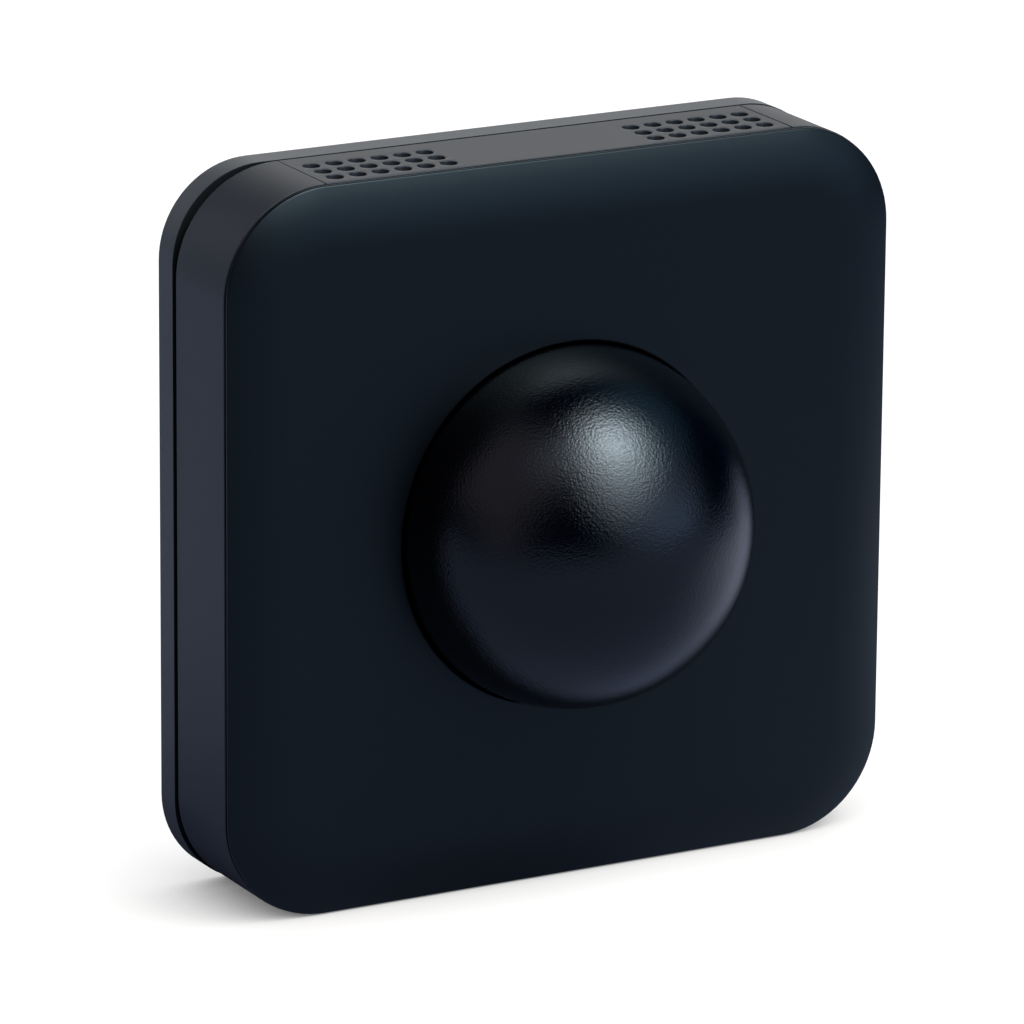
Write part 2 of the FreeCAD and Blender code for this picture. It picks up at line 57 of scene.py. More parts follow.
def linear(code):
    """Linear colour of an sRGB hex code."""
    parts = [int(code[i:i + 2], 16) / 255 for i in (1, 3, 5)]
    return [p / 12.92 if p <= 0.04045 else ((p + 0.055) / 1.055) ** 2.4 for p in parts] + [1.0]


def add(tree, kind, links=(), sockets=(), **settings):
    """Adds a node: settings are its own, sockets are values, links are sockets or nodes before it."""
    node = tree.nodes.new(kind)
    for key, value in settings.items():
        setattr(node, key, value)
    for key, value in dict(sockets).items():
        node.inputs[key].default_value = value
    for key, source in dict(links).items():
        tree.links.new(getattr(source, "outputs", [source])[0], node.inputs[key])
    return node


def finish_for(name, **shader):
    """A material with one Principled shader, whose plain sockets are given by name."""
    material = bpy.data.materials.new(name)
    material.use_nodes = True
    tree = material.node_tree
    tree.nodes.clear()
    sockets = {key.replace("_", " "): value for key, value in shader.items()}
    surface = add(tree, "ShaderNodeBsdfPrincipled", sockets=sockets)
    add(tree, "ShaderNodeOutputMaterial", {"Surface": surface})
    place = add(tree, "ShaderNodeTexCoord").outputs["Object"]
    return material, tree, surface, place


def eased(section, step=18.0):
    """Closed section of corners (out, depth, radius), each turned into an arc of its radius."""
    points = []
    for index, (out, depth, radius) in enumerate(section):
        here = Vector((out, depth))
        if radius == 0:
            points.append((out, depth))
            continue
        a = (Vector(section[index - 1][:2]) - here).normalized()
        b = (Vector(section[(index + 1) % len(section)][:2]) - here).normalized()
        opening = a.angle(b)
        centre = here + (a + b).normalized() * radius / sin(opening / 2)
        start = here + a * radius / tan(opening / 2) - centre
        end = here + b * radius / tan(opening / 2) - centre
        sweep = pi - opening
        steps = max(2, ceil(degrees(sweep) / step))
        for i in range(steps + 1):
            part = i / steps * sweep
            p = centre + (start * sin(sweep - part) + end * sin(part)) / sin(sweep)
            points.append((p.x, p.y))
    return points


def ring(out, depth, core, turn=20, side=16):
    """Points round a square with round corners centred on (core, core), or a circle if core is 0."""
    count = 4 * (turn + side)
    points = []
    for index in range(count):
        quarter, j = divmod(index, turn + side)
        if core == 0:
            angle = radians(90 * quarter + 45) + (j - turn / 2) * 2 * pi / count
            points.append((out * cos(angle), depth, out * sin(angle)))
            continue
        angle = radians(90 * min(j, turn) / turn)
        x = core + (out - core) * cos(angle)
        z = core + (out - core) * sin(angle)
        if j > turn:
            x = core - 2 * core * (j - turn) / side
        for _ in range(quarter):
            x, z = -z, x
        points.append((x, depth, z))
    return points


def placed(name, data):
    """Object of the scene that holds a mesh, a lamp or a camera."""
    thing = bpy.data.objects.new(name, data)
    bpy.context.scene.collection.objects.link(thing)
    return thing


def shade(mesh, crease=30.0):
    """Shades a mesh smooth, but for the edges that turn by more than the crease."""
    mesh.shade_smooth()
    mesh.set_sharp_from_angle(angle=radians(crease))


def written(name, work, crease=30.0):
    """Object from the faces gathered in a bmesh."""
    mesh = bpy.data.meshes.new(name)
    work.to_mesh(mesh)
    work.free()
    shade(mesh, crease)
    return placed(name, mesh)


def mesh_piece(name, points, faces, crease=30.0, weld=1e-7):
    """Object from points (x, depth, z) in millimetres, welded, with its faces turned outwards."""
    work = bmesh.new()
    verts = [work.verts.new((x * MM, -depth * MM, z * MM)) for x, depth, z in points]
    for face in faces:
        work.faces.new([verts[i] for i in face])
    bmesh.ops.remove_doubles(work, verts=work.verts, dist=weld)
    bmesh.ops.dissolve_degenerate(work, edges=work.edges, dist=weld)
    bmesh.ops.recalc_face_normals(work, faces=work.faces)
    return written(name, work, crease)


def shell(points, faces, rings, closed=False, capped=True):
    """Adds faces through rings of equally many points, closed on itself or capped at both ends."""
    first, count = len(points), len(rings[0])
    points.extend(p for one in rings for p in one)
    for level in range(len(rings) if closed else len(rings) - 1):
        lower, upper = first + level * count, first + (level + 1) % len(rings) * count
        for i in range(count):
            j = (i + 1) % count
            faces.append((lower + i, lower + j, upper + j, upper + i))
    if capped and not closed:
        faces.append(tuple(range(first, first + count)))
        faces.append(tuple(range(len(points) - count, len(points))))


def lofted(name, rings, closed=False, crease=30.0):
    """Object from one such shell."""
    points, faces = [], []
    shell(points, faces, rings, closed)
    return mesh_piece(name, points, faces, crease)


def box_piece(name, x0, x1, d0, d1, z0, z1):
    """Plain block, used only to cut or as the start of a bevelled piece."""
    points = [(x, d, z) for x in (x0, x1) for d in (d0, d1) for z in sorted((z0, z1))]
    faces = [(0, 1, 3, 2), (4, 6, 7, 5), (0, 4, 5, 1), (2, 3, 7, 6), (0, 2, 6, 4), (1, 5, 7, 3)]
    return mesh_piece(name, points, faces)


def bar_piece(name, width, height, corner, d0, d1, x=0.0, z=0.0, turn=10):
    """Block along the depth whose four long edges are round."""
    outline = []
    for quarter, (sx, sz) in enumerate(((1, 1), (-1, 1), (-1, -1), (1, -1))):
        for i in range(turn + 1):
            angle = radians(90 * (quarter + i / turn))
            px = sx * (width / 2 - corner) + corner * cos(angle)
            pz = sz * (height / 2 - corner) + corner * sin(angle)
            outline.append((x + px, z + pz))
    return lofted(name, [[(px, d, pz) for px, pz in outline] for d in (d0, d1)])


def combined(piece, others, operation):
    """Cuts the others out of the piece, or unites them with it, and deletes them."""
    for other in others:
        step = piece.modifiers.new(operation, "BOOLEAN")
        step.operation = operation
        step.object = other
        step.solver = "EXACT"
    bpy.context.view_layer.update()
    seen = piece.evaluated_get(bpy.context.evaluated_depsgraph_get())
    mesh = bpy.data.meshes.new_from_object(seen)
    piece.modifiers.clear()
    old, piece.data = piece.data, mesh
    mesh.name = piece.name
    bpy.data.meshes.remove(old)
    for other in others:
        bpy.data.meshes.remove(other.data)
    return piece


def even_normals(piece, weight=50):
    """Lets the flat faces lead the shading of the rounds beside them."""
    lead = piece.modifiers.new("normals", "WEIGHTED_NORMAL")
    lead.keep_sharp = True
    lead.weight = weight


def edged(piece, width, crease=35.0, segments=2):
    """Breaks the sharp edges by a small round of the given width."""
    work = bmesh.new()
    work.from_mesh(piece.data)
    bmesh.ops.remove_doubles(work, verts=work.verts, dist=2e-6)
    bmesh.ops.dissolve_limit(work, angle_limit=radians(0.5), verts=work.verts, edges=work.edges)
    work.to_mesh(piece.data)
    work.free()
    bevel = piece.modifiers.new("edges", "BEVEL")
    bevel.width = width * MM
    bevel.segments = segments
    bevel.limit_method = "ANGLE"
    bevel.angle_limit = radians(crease)
    bevel.miter_outer = "MITER_ARC"
    piece.data.shade_smooth()
    even_normals(piece, weight=100)
    return piece


def two_tones(tree, surface, place, dark, light, cloud, detail, edge):
    """Colours a surface in clouds of the given size in mm that fade between two close tones."""
    clouds = add(
        tree, "ShaderNodeTexNoise", {"Vector": place}, {"Scale": 1 / (cloud * MM), "Detail": detail}
    )
    tint = add(tree, "ShaderNodeValToRGB", {"Fac": clouds})
    for stop, colour, at in zip(tint.color_ramp.elements, (dark, light), (edge, 1 - edge)):
        stop.color = linear(colour)
        stop.position = at
    tree.links.new(tint.outputs["Color"], surface.inputs["Base Color"])


def toned(name, dark, light, cloud, grain, relief, **shader):
    """Finish of two close tones in clouds, with a grain of the given size and height in mm."""
    material, tree, surface, place = finish_for(name, **shader)
    two_tones(tree, surface, place, dark, light, cloud, detail=3.0, edge=0.35)
    grains = add(
        tree, "ShaderNodeTexNoise", {"Vector": place}, {"Scale": 1 / (grain * MM), "Detail": 2.0}
    )
    bump = add(
        tree, "ShaderNodeBump", {"Height": grains}, {"Strength": 0.8, "Distance": relief * MM}
    )
    tree.links.new(bump.outputs["Normal"], surface.inputs["Normal"])
    return material


def coat(piece, material):
    """Gives a piece or a CAD solid one material in place of those it has."""
    piece.data.materials.clear()
    piece.data.materials.append(material)


def finished(piece, material, node, slot, body="front_unit"):
    """Gives a piece its material and body, and hides the CAD solid that it stands for, if any."""
    coat(piece, material)
    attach(piece, body)
    if node:
        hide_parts(node)


# ABS, moulded in a spark-eroded tool: a fine even grain breaks the mirrored lamp into a soft
# satin. The plate is a shade paler than the front, a charcoal. The real grain is about
# 0.06 mm wide, and drawn at 0.16 mm so that it shows.
abs_clouds, abs_grain, abs_relief = 14.0, 0.16, 0.004
abs_sizes = (abs_clouds, abs_grain, abs_relief)
plate_abs = toned(
    "charcoal_abs_spark_eroded", "#4a4847", "#504e4d", *abs_sizes, Roughness=0.44, IOR=1.5
)

plate_half, _, collar_front = span("wall_plate")[1:4]
plate_corner = 10.8
plate_thick = 3.6
rim_round = 0.1
rim_run = 2.0
plate_core = plate_half - plate_corner
plate_section = [
    (plate_half - rim_run, 0, 0), (plate_half, 0, rim_round),
    (plate_half, plate_thick, rim_round), (plate_half - rim_run, plate_thick, 0),
]
plate_rings = [ring(*point, plate_core) for point in eased(plate_section)]
wall_plate = lofted("wall_plate_moulding", plate_rings)

front_half = span("frame")[1]
front_corner = 12.25
front_core = front_half - front_corner
collar_out = front_half - 2.2
collar_wall = 1.6
collar_root = plate_thick - 1
collar_chamfer = 0.4
collar_section = [
    (collar_out, collar_root),
    (collar_out, collar_front - collar_chamfer),
    (collar_out - collar_chamfer, collar_front),
    (collar_out - collar_wall, collar_front),
    (collar_out - collar_wall, collar_root),
]
collar = lofted("collar", [ring(*point, front_core) for point in collar_section], closed=True)

# Cutters reach this far, in mm, past the faces that they open.
past = 1.0
finger_width, finger_slit = 12.0, 1.0
snap_length, snap_radius, snap_height = 8.0, 1.2, 0.15
snap_middle = plate_thick + 2.2
snap_top = collar_out + snap_height
snap_steps = 12
snap_turns = [radians(-60 + 120 * i / snap_steps) for i in range(snap_steps + 1)]
snap_arc = [
    (snap_middle + snap_radius * sin(a), snap_top - snap_radius + snap_radius * cos(a))
    for a in snap_turns
]
slits = []
ribs = []
for quarter in range(4):
    turn = Matrix.Rotation(radians(90 * quarter), 4, "Y")
    for side in (-1, 1):
        x = side * (finger_width + finger_slit) / 2
        slit = box_piece(
            "slit", x - finger_slit / 2, x + finger_slit / 2, plate_thick, collar_front + past,
            collar_out - collar_wall - past, collar_out + past,
        )
        slit.data.transform(turn)
        slits.append(slit)
    ends = [[(x, d, z) for d, z in snap_arc] for x in (-snap_length / 2, snap_length / 2)]
    rib = lofted("rib", ends)
    rib.data.transform(turn)
    ribs.append(rib)
combined(collar, slits, "DIFFERENCE")
combined(wall_plate, [collar] + ribs, "UNION")

open_width, open_height, open_corner = 32.0, 24.0, 3.0
slot_width, slot_length = 3.8, 8.0
recess_width, recess_depth = 7.8, 1.2
box_screw_half = 30.0
least_flat = 0.002
cutters = [bar_piece("opening", open_width, open_height, open_corner, -past, plate_thick + past)]
for x, z in ((1, 0), (-1, 0), (0, 1), (0, -1)):
    for width, length, start in (
        (slot_width, slot_length, -past),
        (recess_width, slot_length + recess_width - slot_width, plate_thick - recess_depth),
    ):
        cutters.append(
            bar_piece(
                "slot", width + abs(x) * (length - width), width + abs(z) * (length - width),
                width / 2 - least_flat, start, plate_thick + past, x * box_screw_half,
                z * box_screw_half, turn=12,
            )
        )
pocket_half = plate_half - 4.95
pocket_depth = 0.8
pocket_corner, pocket_inner_corner = 7.0, 1.0
rib_half = 6.5
land = 3.0
pocket_middle = (pocket_half + rib_half) / 2
pocket_size = pocket_half - rib_half
for sx, sz in ((1, 1), (-1, 1), (-1, -1), (1, -1)):
    pocket = bar_piece(
        "pocket", pocket_size, pocket_size, pocket_inner_corner, -past, pocket_depth,
        sx * pocket_middle, sz * pocket_middle,
    )
    keep = bar_piece(
        "land", open_width + 2 * land, open_height + 2 * land, open_corner + land,
        -2 * past, pocket_depth + past,
    )
    outline = [ring(pocket_half, d, pocket_half - pocket_corner) for d in (-1.5 * past, past)]
    combined(pocket, [lofted("pocket_outline", outline)], "INTERSECT")
    combined(pocket, [keep], "DIFFERENCE")
    cutters.append(pocket)
notch_half, notch_depth, notch_height = 4.5, 1.0, 1.8
cutters.append(
    box_piece(
        "pry_notch", -notch_half, notch_half, plate_thick - notch_height, plate_thick + past,
        -plate_half - past, -plate_half + notch_depth,
    )
)
combined(wall_plate, cutters, "DIFFERENCE")
edged(wall_plate, width=0.12)
finished(wall_plate, plate_abs, "wall_plate", "housing_black", body="wall_side")

# In the shadow gap and on the collar the same ABS is painted darker and duller. This is painted shade,
# so that the gap reads as a black line.
gap_shade_abs = toned(
    "abs_painted_with_gap_shade", "#08090a", "#0c0d0e", *abs_sizes,
    Roughness=0.7, IOR=1.5, Specular_IOR_Level=0.25,
)
wall_plate.data.materials.append(gap_shade_abs)
# The plate's front face and the collar, deep in the gap, take the painted shade.
gap_shade_starts = plate_thick - 0.09
for face in wall_plate.data.polygons:
    face.material_index = int(-face.center.y > gap_shade_starts * MM)

# Frame: the four side walls of the front unit, one black ABS moulding that pushes over the
# collar. Its outer face is recessed at the top and bottom for the vent strips, with two
# windows behind each strip, and a ledge inside stops it on the collar.
_, _, frame_back, frame_front, frame_foot, _ = span("frame")
frame_wall = 2.0
inner_half = front_half - frame_wall
inner_round = 0.1
ledge_width, ledge_thick, ledge_round = 1.7, 1.5, 0.15
ledge_rear = collar_front
ledge_front = ledge_rear + ledge_thick
frame_section = eased(
    [
        (front_half, frame_back, rim_round),
        (front_half, frame_front, rim_round),
        (inner_half, frame_front, inner_round),
        (inner_half, ledge_front, 0),
        (inner_half - ledge_width, ledge_front, ledge_round),
        (inner_half - ledge_width, ledge_rear, ledge_round),
        (inner_half, ledge_rear, 0),
        (inner_half, frame_back, inner_round),
    ]
)
frame_rings = [ring(*point, front_core) for point in frame_section]
housing = lofted("frame_moulding", frame_rings, closed=True)
_, strip_half, _, _, seat_floor, _ = span("top_vent_strip")
strip_clear = 0.1
seat_half = strip_half + strip_clear
vent_pitch = 2.84
vent_columns, vent_rows = 6, 3
vent_group_x = seat_half - 9.45
vent_depth = 11.7
window_margin = 1.5
window_half_x = (vent_columns - 1) / 2 * vent_pitch + window_margin
window_half_d = (vent_rows - 1) / 2 * vent_pitch + window_margin
ledge_clear = 0.2
cutters = []
for side in (-1, 1):
    cutters.append(
        box_piece(
            "seat", -seat_half, seat_half, frame_back - past, frame_front + past,
            side * seat_floor, side * (front_half + past),
        )
    )
    cutters.append(
        box_piece(
            "ledge_gap", -seat_half, seat_half, ledge_rear - ledge_clear, ledge_front + ledge_clear,
            side * (inner_half - ledge_width - past), side * inner_half,
        )
    )
    for x in (-vent_group_x, vent_group_x):
        cutters.append(
            box_piece(
                "window", x - window_half_x, x + window_half_x, vent_depth - window_half_d,
                vent_depth + window_half_d, side * (inner_half - past), side * (seat_floor + 0.5),
            )
        )
combined(housing, cutters, "DIFFERENCE")
edged(housing, width=0.08)

# The same ABS and grain in black: a cold near-black in a soft satin.
black_abs = toned(
    "black_abs_spark_eroded", "#202124", "#26272a", *abs_sizes, Roughness=0.44, IOR=1.5
)
finished(housing, black_abs, "frame", "housing_black")

# Vent strips: two flat inserts of the same black ABS, let flush into the frame at the top
# and bottom. Each is moulded with two groups of 6 by 3 round holes, with softly broken
# edges, that let room air pass the air sensor.
vent_radius = 1.0
vent_edge = 0.09
hole_sides = 32
strip_cell = 2.0


def vent_strip(name, node, side):
    """Strip on a grid of lines, whose cells between the lines hold the walls of the holes."""
    x0, x1, d0, d1, low, high = span(node)
    top, bottom = (high, low) if side > 0 else (low, high)
    per_side = hole_sides // 4
    cells_x = [
        group * vent_group_x + (i - vent_columns / 2) * vent_pitch
        for group in (-1, 1)
        for i in range(vent_columns)
    ]
    cells_d = [vent_depth + (i - vent_rows / 2) * vent_pitch for i in range(vent_rows)]
    shares = [k * vent_pitch / per_side for k in range(per_side + 1)]
    lines_x = {round(x + share, 5) for x in cells_x for share in shares}
    lines_d = {round(d + share, 5) for d in cells_d for share in shares}
    lines_x |= {x0 + vent_edge, x1 - vent_edge}
    lines_x |= {i * strip_cell for i in range(-5, 6)}
    lines_d |= {d0 + rim_round, d1 - rim_round}
    lines_x, lines_d = sorted(lines_x), sorted(lines_d)
    quarter = [radians(18 * i) for i in range(6)]
    rim = [(rim_round * (1 - cos(a)), rim_round * (1 - sin(a))) for a in quarter]
    rows = [(d0 + a, top - side * b) for a, b in rim]
    rows += [(d, top) for d in lines_d[1:-1]]
    rows += [(d1 - a, top - side * b) for a, b in reversed(rim)]
    points, faces = [], []

    def quad(*corners):
        first = len(points)
        points.extend(corners)
        faces.append(tuple(range(first, first + len(corners))))

    def in_cell(x, d):
        in_column = any(c < x < c + vent_pitch for c in cells_x)
        return in_column and any(c < d < c + vent_pitch for c in cells_d)

    for (da, za), (db, zb) in zip(rows, rows[1:]):
        for xa, xb in zip(lines_x, lines_x[1:]):
            if not in_cell((xa + xb) / 2, (da + db) / 2):
                quad((xa, da, za), (xb, da, za), (xb, db, zb), (xa, db, zb))
                quad((xa, da, bottom), (xb, da, bottom), (xb, db, bottom), (xa, db, bottom))
    for end, out in ((lines_x[0], lines_x[0] - vent_edge), (lines_x[-1], lines_x[-1] + vent_edge)):
        for (da, za), (db, zb) in zip(rows, rows[1:]):
            lower_a, lower_b = za - side * vent_edge, zb - side * vent_edge
            quad((end, da, za), (end, db, zb), (out, db, lower_b), (out, da, lower_a))
            quad((out, da, lower_a), (out, db, lower_b), (out, db, bottom), (out, da, bottom))
            quad((out, da, bottom), (out, db, bottom), (end, db, bottom), (end, da, bottom))
        for d, z in (rows[0], rows[-1]):
            quad((end, d, z), (out, d, z - side * vent_edge), (out, d, bottom), (end, d, bottom))
    for d, z in (rows[0], rows[-1]):
        for xa, xb in zip(lines_x, lines_x[1:]):
            quad((xa, d, z), (xb, d, z), (xb, d, bottom), (xa, d, bottom))
    turns = [2 * pi * k / hole_sides - pi / 4 for k in range(hole_sides)]
    edge_turns = [radians(30 * i) for i in range(4)]
    for cx in cells_x:
        for cd in cells_d:
            mx, md = cx + vent_pitch / 2, cd + vent_pitch / 2
            far_x, far_d = cx + vent_pitch, cd + vent_pitch
            square = [(far_x, cd + t) for t in shares[:-1]]
            square += [(far_x - t, far_d) for t in shares[:-1]]
            square += [(cx, far_d - t) for t in shares[:-1]]
            square += [(cx + t, cd) for t in shares[:-1]]
            levels = [[(x, d, top) for x, d in square]]
            for a in edge_turns:
                radius = vent_radius + vent_edge * (1 - sin(a))
                z = top - side * vent_edge * (1 - cos(a))
                levels.append([(mx + radius * cos(t), md + radius * sin(t), z) for t in turns])
            levels.append([(x, d, bottom) for x, d, _ in levels[-1]])
            levels.append([(x, d, bottom) for x, d in square])
            shell(points, faces, levels, capped=False)
    strip = mesh_piece(name, points, faces, crease=40.0, weld=2e-6)
    even_normals(strip)
    finished(strip, black_abs, node, "housing_black")


vent_strip("top_vent_strip_moulding", "top_vent_strip", 1)
vent_strip("bottom_vent_strip_moulding", "bottom_vent_strip", -1)

# Front cover: a polycarbonate moulding with a soft-touch coat. Its face is flat in the
# middle and falls in one arc to the edge, a thin seam parts it from the frame, and a lip
# behind sits inside the frame. Bosses behind take the screws of the board and clamp ring.
_, cover_half, _, cover_face, _, _ = span("front_cover")
seam_front = frame_front + 0.3
seam_depth, seam_round = 0.8, 0.06
edge_front = seam_front + 0.35
edge_round = 0.28
crown_width, crown_height = 7.5, 1.5
crown_start = front_half - crown_width
crown_end = cover_half - 0.3
crown_span = cover_half - crown_start
crown_radius = (crown_span ** 2 + crown_height ** 2) / (2 * crown_height)
crown_steps = 12
cover_inner = cover_face - 1.6
lip_outer = inner_half - 0.15
lip_inner = lip_outer - 1.25
lip_rear = frame_front - 1.2
lip_round, inside_round = 0.15, 0.2
globe_radius = 20.9
opening_radius = globe_radius + 0.2
opening_round, opening_rear_round = 0.3, 0.1
opening_run = 6.0
crown = []
for i in range(crown_steps):
    out = crown_start + (crown_end - crown_start) * i / crown_steps
    drop = crown_radius - sqrt(crown_radius ** 2 - (out - crown_start) ** 2)
    crown.append((out, cover_face - drop, 0))
cover_section = eased(
    crown
    + [
        (cover_half, edge_front, edge_round),
        (cover_half, seam_front, seam_round),
        (cover_half - seam_depth, seam_front, 0),
        (cover_half - seam_depth, frame_front, 0),
        (lip_outer, frame_front, 0),
        (lip_outer, lip_rear, lip_round),
        (lip_inner, lip_rear, lip_round),
        (lip_inner, cover_inner, inside_round),
    ]
)
opening_section = eased(
    [
        (opening_radius + opening_run, cover_inner, 0),
        (opening_radius, cover_inner, opening_rear_round),
        (opening_radius, cover_face, opening_round),
        (opening_radius + opening_run, cover_face, 0),
    ],
    step=15.0,
)[1:-1]
cover_rings = [ring(*point, front_core) for point in cover_section]
cover_rings += [ring(*point, 0) for point in opening_section]
cover = lofted("front_cover_moulding", cover_rings, closed=True)


def circle(radius, depth, sides=40, x=0.0, z=0.0):
    """Points round a circle about (x, z)."""
    turns = [2 * pi * k / sides for k in range(sides)]
    return [(x + radius * cos(a), depth, z + radius * sin(a)) for a in turns]


def lathed(name, section, sides=40, x=0.0, z=0.0):
    """Turned piece whose axis runs along the depth through (x, z), from (radius, depth)."""
    piece = lofted(name, [circle(*point, sides) for point in section])
    piece.data.transform(Matrix.Translation((x * MM, 0, z * MM)))
    return piece


def boss(x, z, radius, rear):
    """Tapered boss with a blind pilot hole, standing on the inner face of the cover."""
    section = [
        (radius + boss_foot, cover_inner + boss_sunk), (radius, rear + boss_edge),
        (radius - boss_edge, rear), (pilot + pilot_edge, rear), (pilot, rear + pilot_edge),
        (pilot, cover_inner - pilot_floor),
    ]
    return lofted("boss", [circle(*point, x=x, z=z) for point in section])


pilot, pilot_edge, pilot_floor = 1.05, 0.2, 0.4
boss_foot, boss_sunk, boss_edge = 0.35, 0.3, 0.15
board_boss, ring_boss = 3.0, 2.0
boss_inset = 4.0
screw_circle = 25.2
_, board_x1, board_back, board_front, board_z0, board_z1 = span("main_board")
flange_rear = span("globe")[2]
board_holes = [
    (sx * (board_x1 - boss_inset), z)
    for sx in (-1, 1)
    for z in (board_z1 - boss_inset, board_z0 + boss_inset)
]
diagonal = screw_circle / sqrt(2)
ring_holes = [(sx * diagonal, sz * diagonal) for sx in (-1, 1) for sz in (-1, 1)]
bosses = [boss(x, z, board_boss, board_front) for x, z in board_holes]
bosses += [boss(x, z, ring_boss, flange_rear) for x, z in ring_holes]
combined(cover, bosses, "UNION")
shade(cover.data)
even_normals(cover)

# Polycarbonate with a soft-touch polyurethane coat: matte and velvety, navy black, with a
# slight bloom where light grazes it and a faint sheen over its fine orange peel. The flecks
# of the coat are drawn at 0.12 mm, coarser than they are, so that they show.
coat_clouds = 30.0
peel_size, fleck_size, peel_height = 0.9, 0.12, 0.003
soft_touch, tree, surface, place = finish_for(
    "soft_touch_coated_polycarbonate", Roughness=0.35, IOR=1.5, Specular_IOR_Level=0.35,
    Specular_Tint=linear("#eefffe"),
)
two_tones(tree, surface, place, "#010204", "#020305", coat_clouds, detail=2.0, edge=0.3)
peel, fleck = [
    add(tree, "ShaderNodeTexNoise", {"Vector": place}, {"Scale": 1 / (size * MM), "Detail": 1.0})
    for size in (peel_size, fleck_size)
]
relief = add(tree, "ShaderNodeMath", {0: peel, 1: fleck}, operation="ADD")
bump = add(tree, "ShaderNodeBump", {"Height": relief}, {"Strength": 0.4, "Distance": peel_height * MM})
tree.links.new(bump.outputs["Normal"], surface.inputs["Normal"])
finished(cover, soft_touch, "front_cover", "cover_black")

# Half globe: a thin gloss black shell that warms with the room's radiation. It is moulded in
# ABS, etched outside with a fine leathery grain, and its flange is held behind the cover.
_, flange_radius, flange_back, globe_apex, _, _ = span("globe")
globe_centre = globe_apex - globe_radius
globe_wall = 1.2
inner_radius = globe_radius - globe_wall
flange_front = flange_back + 1.2
flange_round, flange_foot, inner_foot = 0.1, 0.2, 0.15
globe_skirt = globe_centre - 0.2
polar_steps = 56
polar = [radians(90 * i / polar_steps) for i in range(1, polar_steps + 1)]
globe_section = [(0, globe_apex)]
globe_section += [(globe_radius * sin(a), globe_centre + globe_radius * cos(a)) for a in polar]
globe_section += eased(
    [
        (globe_radius, globe_skirt, 0),
        (globe_radius, flange_front, flange_foot),
        (flange_radius, flange_front, flange_round),
        (flange_radius, flange_back, flange_round),
        (inner_radius, flange_back, inner_foot),
        (inner_radius, globe_skirt, 0),
    ]
)
polar.reverse()
globe_section += [(inner_radius * sin(a), globe_centre + inner_radius * cos(a)) for a in polar]
globe_section.append((0, globe_centre + inner_radius))
globe = lathed("globe_shell", globe_section, sides=192)

# Gloss ABS with an etched grain: jet black, its mirrored lamp broken into small sharp
# sparkles by the grain, and the floor mirrored softly in its lower half.
etch_size, etch_height = 0.14, 0.025
gloss_abs, tree, surface, place = finish_for(
    "gloss_black_abs_etched", Roughness=0.1, IOR=1.49, Base_Color=linear("#010102")
)
etch_scale = 1 / (etch_size * MM)
etch = add(
    tree, "ShaderNodeTexNoise", {"Vector": place}, {"Scale": etch_scale, "Detail": 2.0, "Roughness": 0.55}
)
cells = add(
    tree, "ShaderNodeTexVoronoi", {"Vector": place}, {"Scale": etch_scale / 2}, feature="SMOOTH_F1"
)
relief = add(tree, "ShaderNodeMath", {0: etch, 1: cells}, operation="ADD")
bump = add(tree, "ShaderNodeBump", {"Height": relief}, {"Strength": 1.0, "Distance": etch_height * MM})
tree.links.new(bump.outputs["Normal"], surface.inputs["Normal"])
finished(globe, gloss_abs, "globe", "globe_black")

# Globe gasket: a ring die-cut from closed-cell EPDM foam, squeezed between the globe's flange
# and the cover, so that no draught reaches the probe. Its cut cells give a dull, pitted skin.
foam = toned(
    "closed_cell_epdm_foam", "#0d0d0e", "#161617", 5.0, 0.35, 0.06, Roughness=0.92, IOR=1.5
)
coat(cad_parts["globe_gasket"], foam)

# Clamp ring: a flat ring of the same black ABS, with four countersunk holes. It presses the
# globe's flange and the gasket against the inside of the cover.
coat(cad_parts["clamp_ring"], black_abs)

# Clamp ring screws: four countersunk self-tapping screws of zinc-plated steel with a cross
# recess, driven from behind into the bosses of the cover.


def set_of(name, pattern, places):
    """One piece made of copies of a pattern, one at each place (x, z)."""
    work = bmesh.new()
    for x, z in places:
        copy = pattern.data.copy()
        copy.transform(Matrix.Translation((x * MM, 0, z * MM)))
        work.from_mesh(copy)
        bpy.data.meshes.remove(copy)
    bpy.data.meshes.remove(pattern.data)
    return written(name, work)


def cross_recess(screw, head_back, deep):
    """Cuts a cross into the head of a screw."""
    half_width, half_length = 0.225, 1.05
    bars = [
        box_piece("bar", -half_x, half_x, head_back - past, head_back + deep, -half_z, half_z)
        for half_x, half_z in ((half_length, half_width), (half_width, half_length))
    ]
    combined(screw, bars, "DIFFERENCE")


# Zinc plating on steel, from a bath: bright but hazy, a cool grey that is a touch yellow.
steel = toned(
    "zinc_plated_steel", "#b9bcbb", "#cfd0cc", 1.5, 0.25, 0.004, Metallic=1.0, Roughness=0.34
)
shank_radius = 1.0
point_radius, point_length = 0.3, 0.4
_, _, sunk_back, sunk_tip, _, _ = span("clamp_ring_screws")
sunk_radius, sunk_height, sunk_rim = 1.8, 0.9, 0.06
sunk_screw = lathed(
    "sunk_screw",
    [
        (sunk_radius - sunk_rim, sunk_back),
        (sunk_radius, sunk_back + sunk_rim),
        (shank_radius, sunk_back + sunk_height),
        (shank_radius, sunk_tip - point_length),
        (point_radius, sunk_tip),
    ],
)
cross_recess(sunk_screw, sunk_back, deep=0.6)
finished(set_of("sunk_screws", sunk_screw, ring_holes), steel, "clamp_ring_screws", "screw_steel")

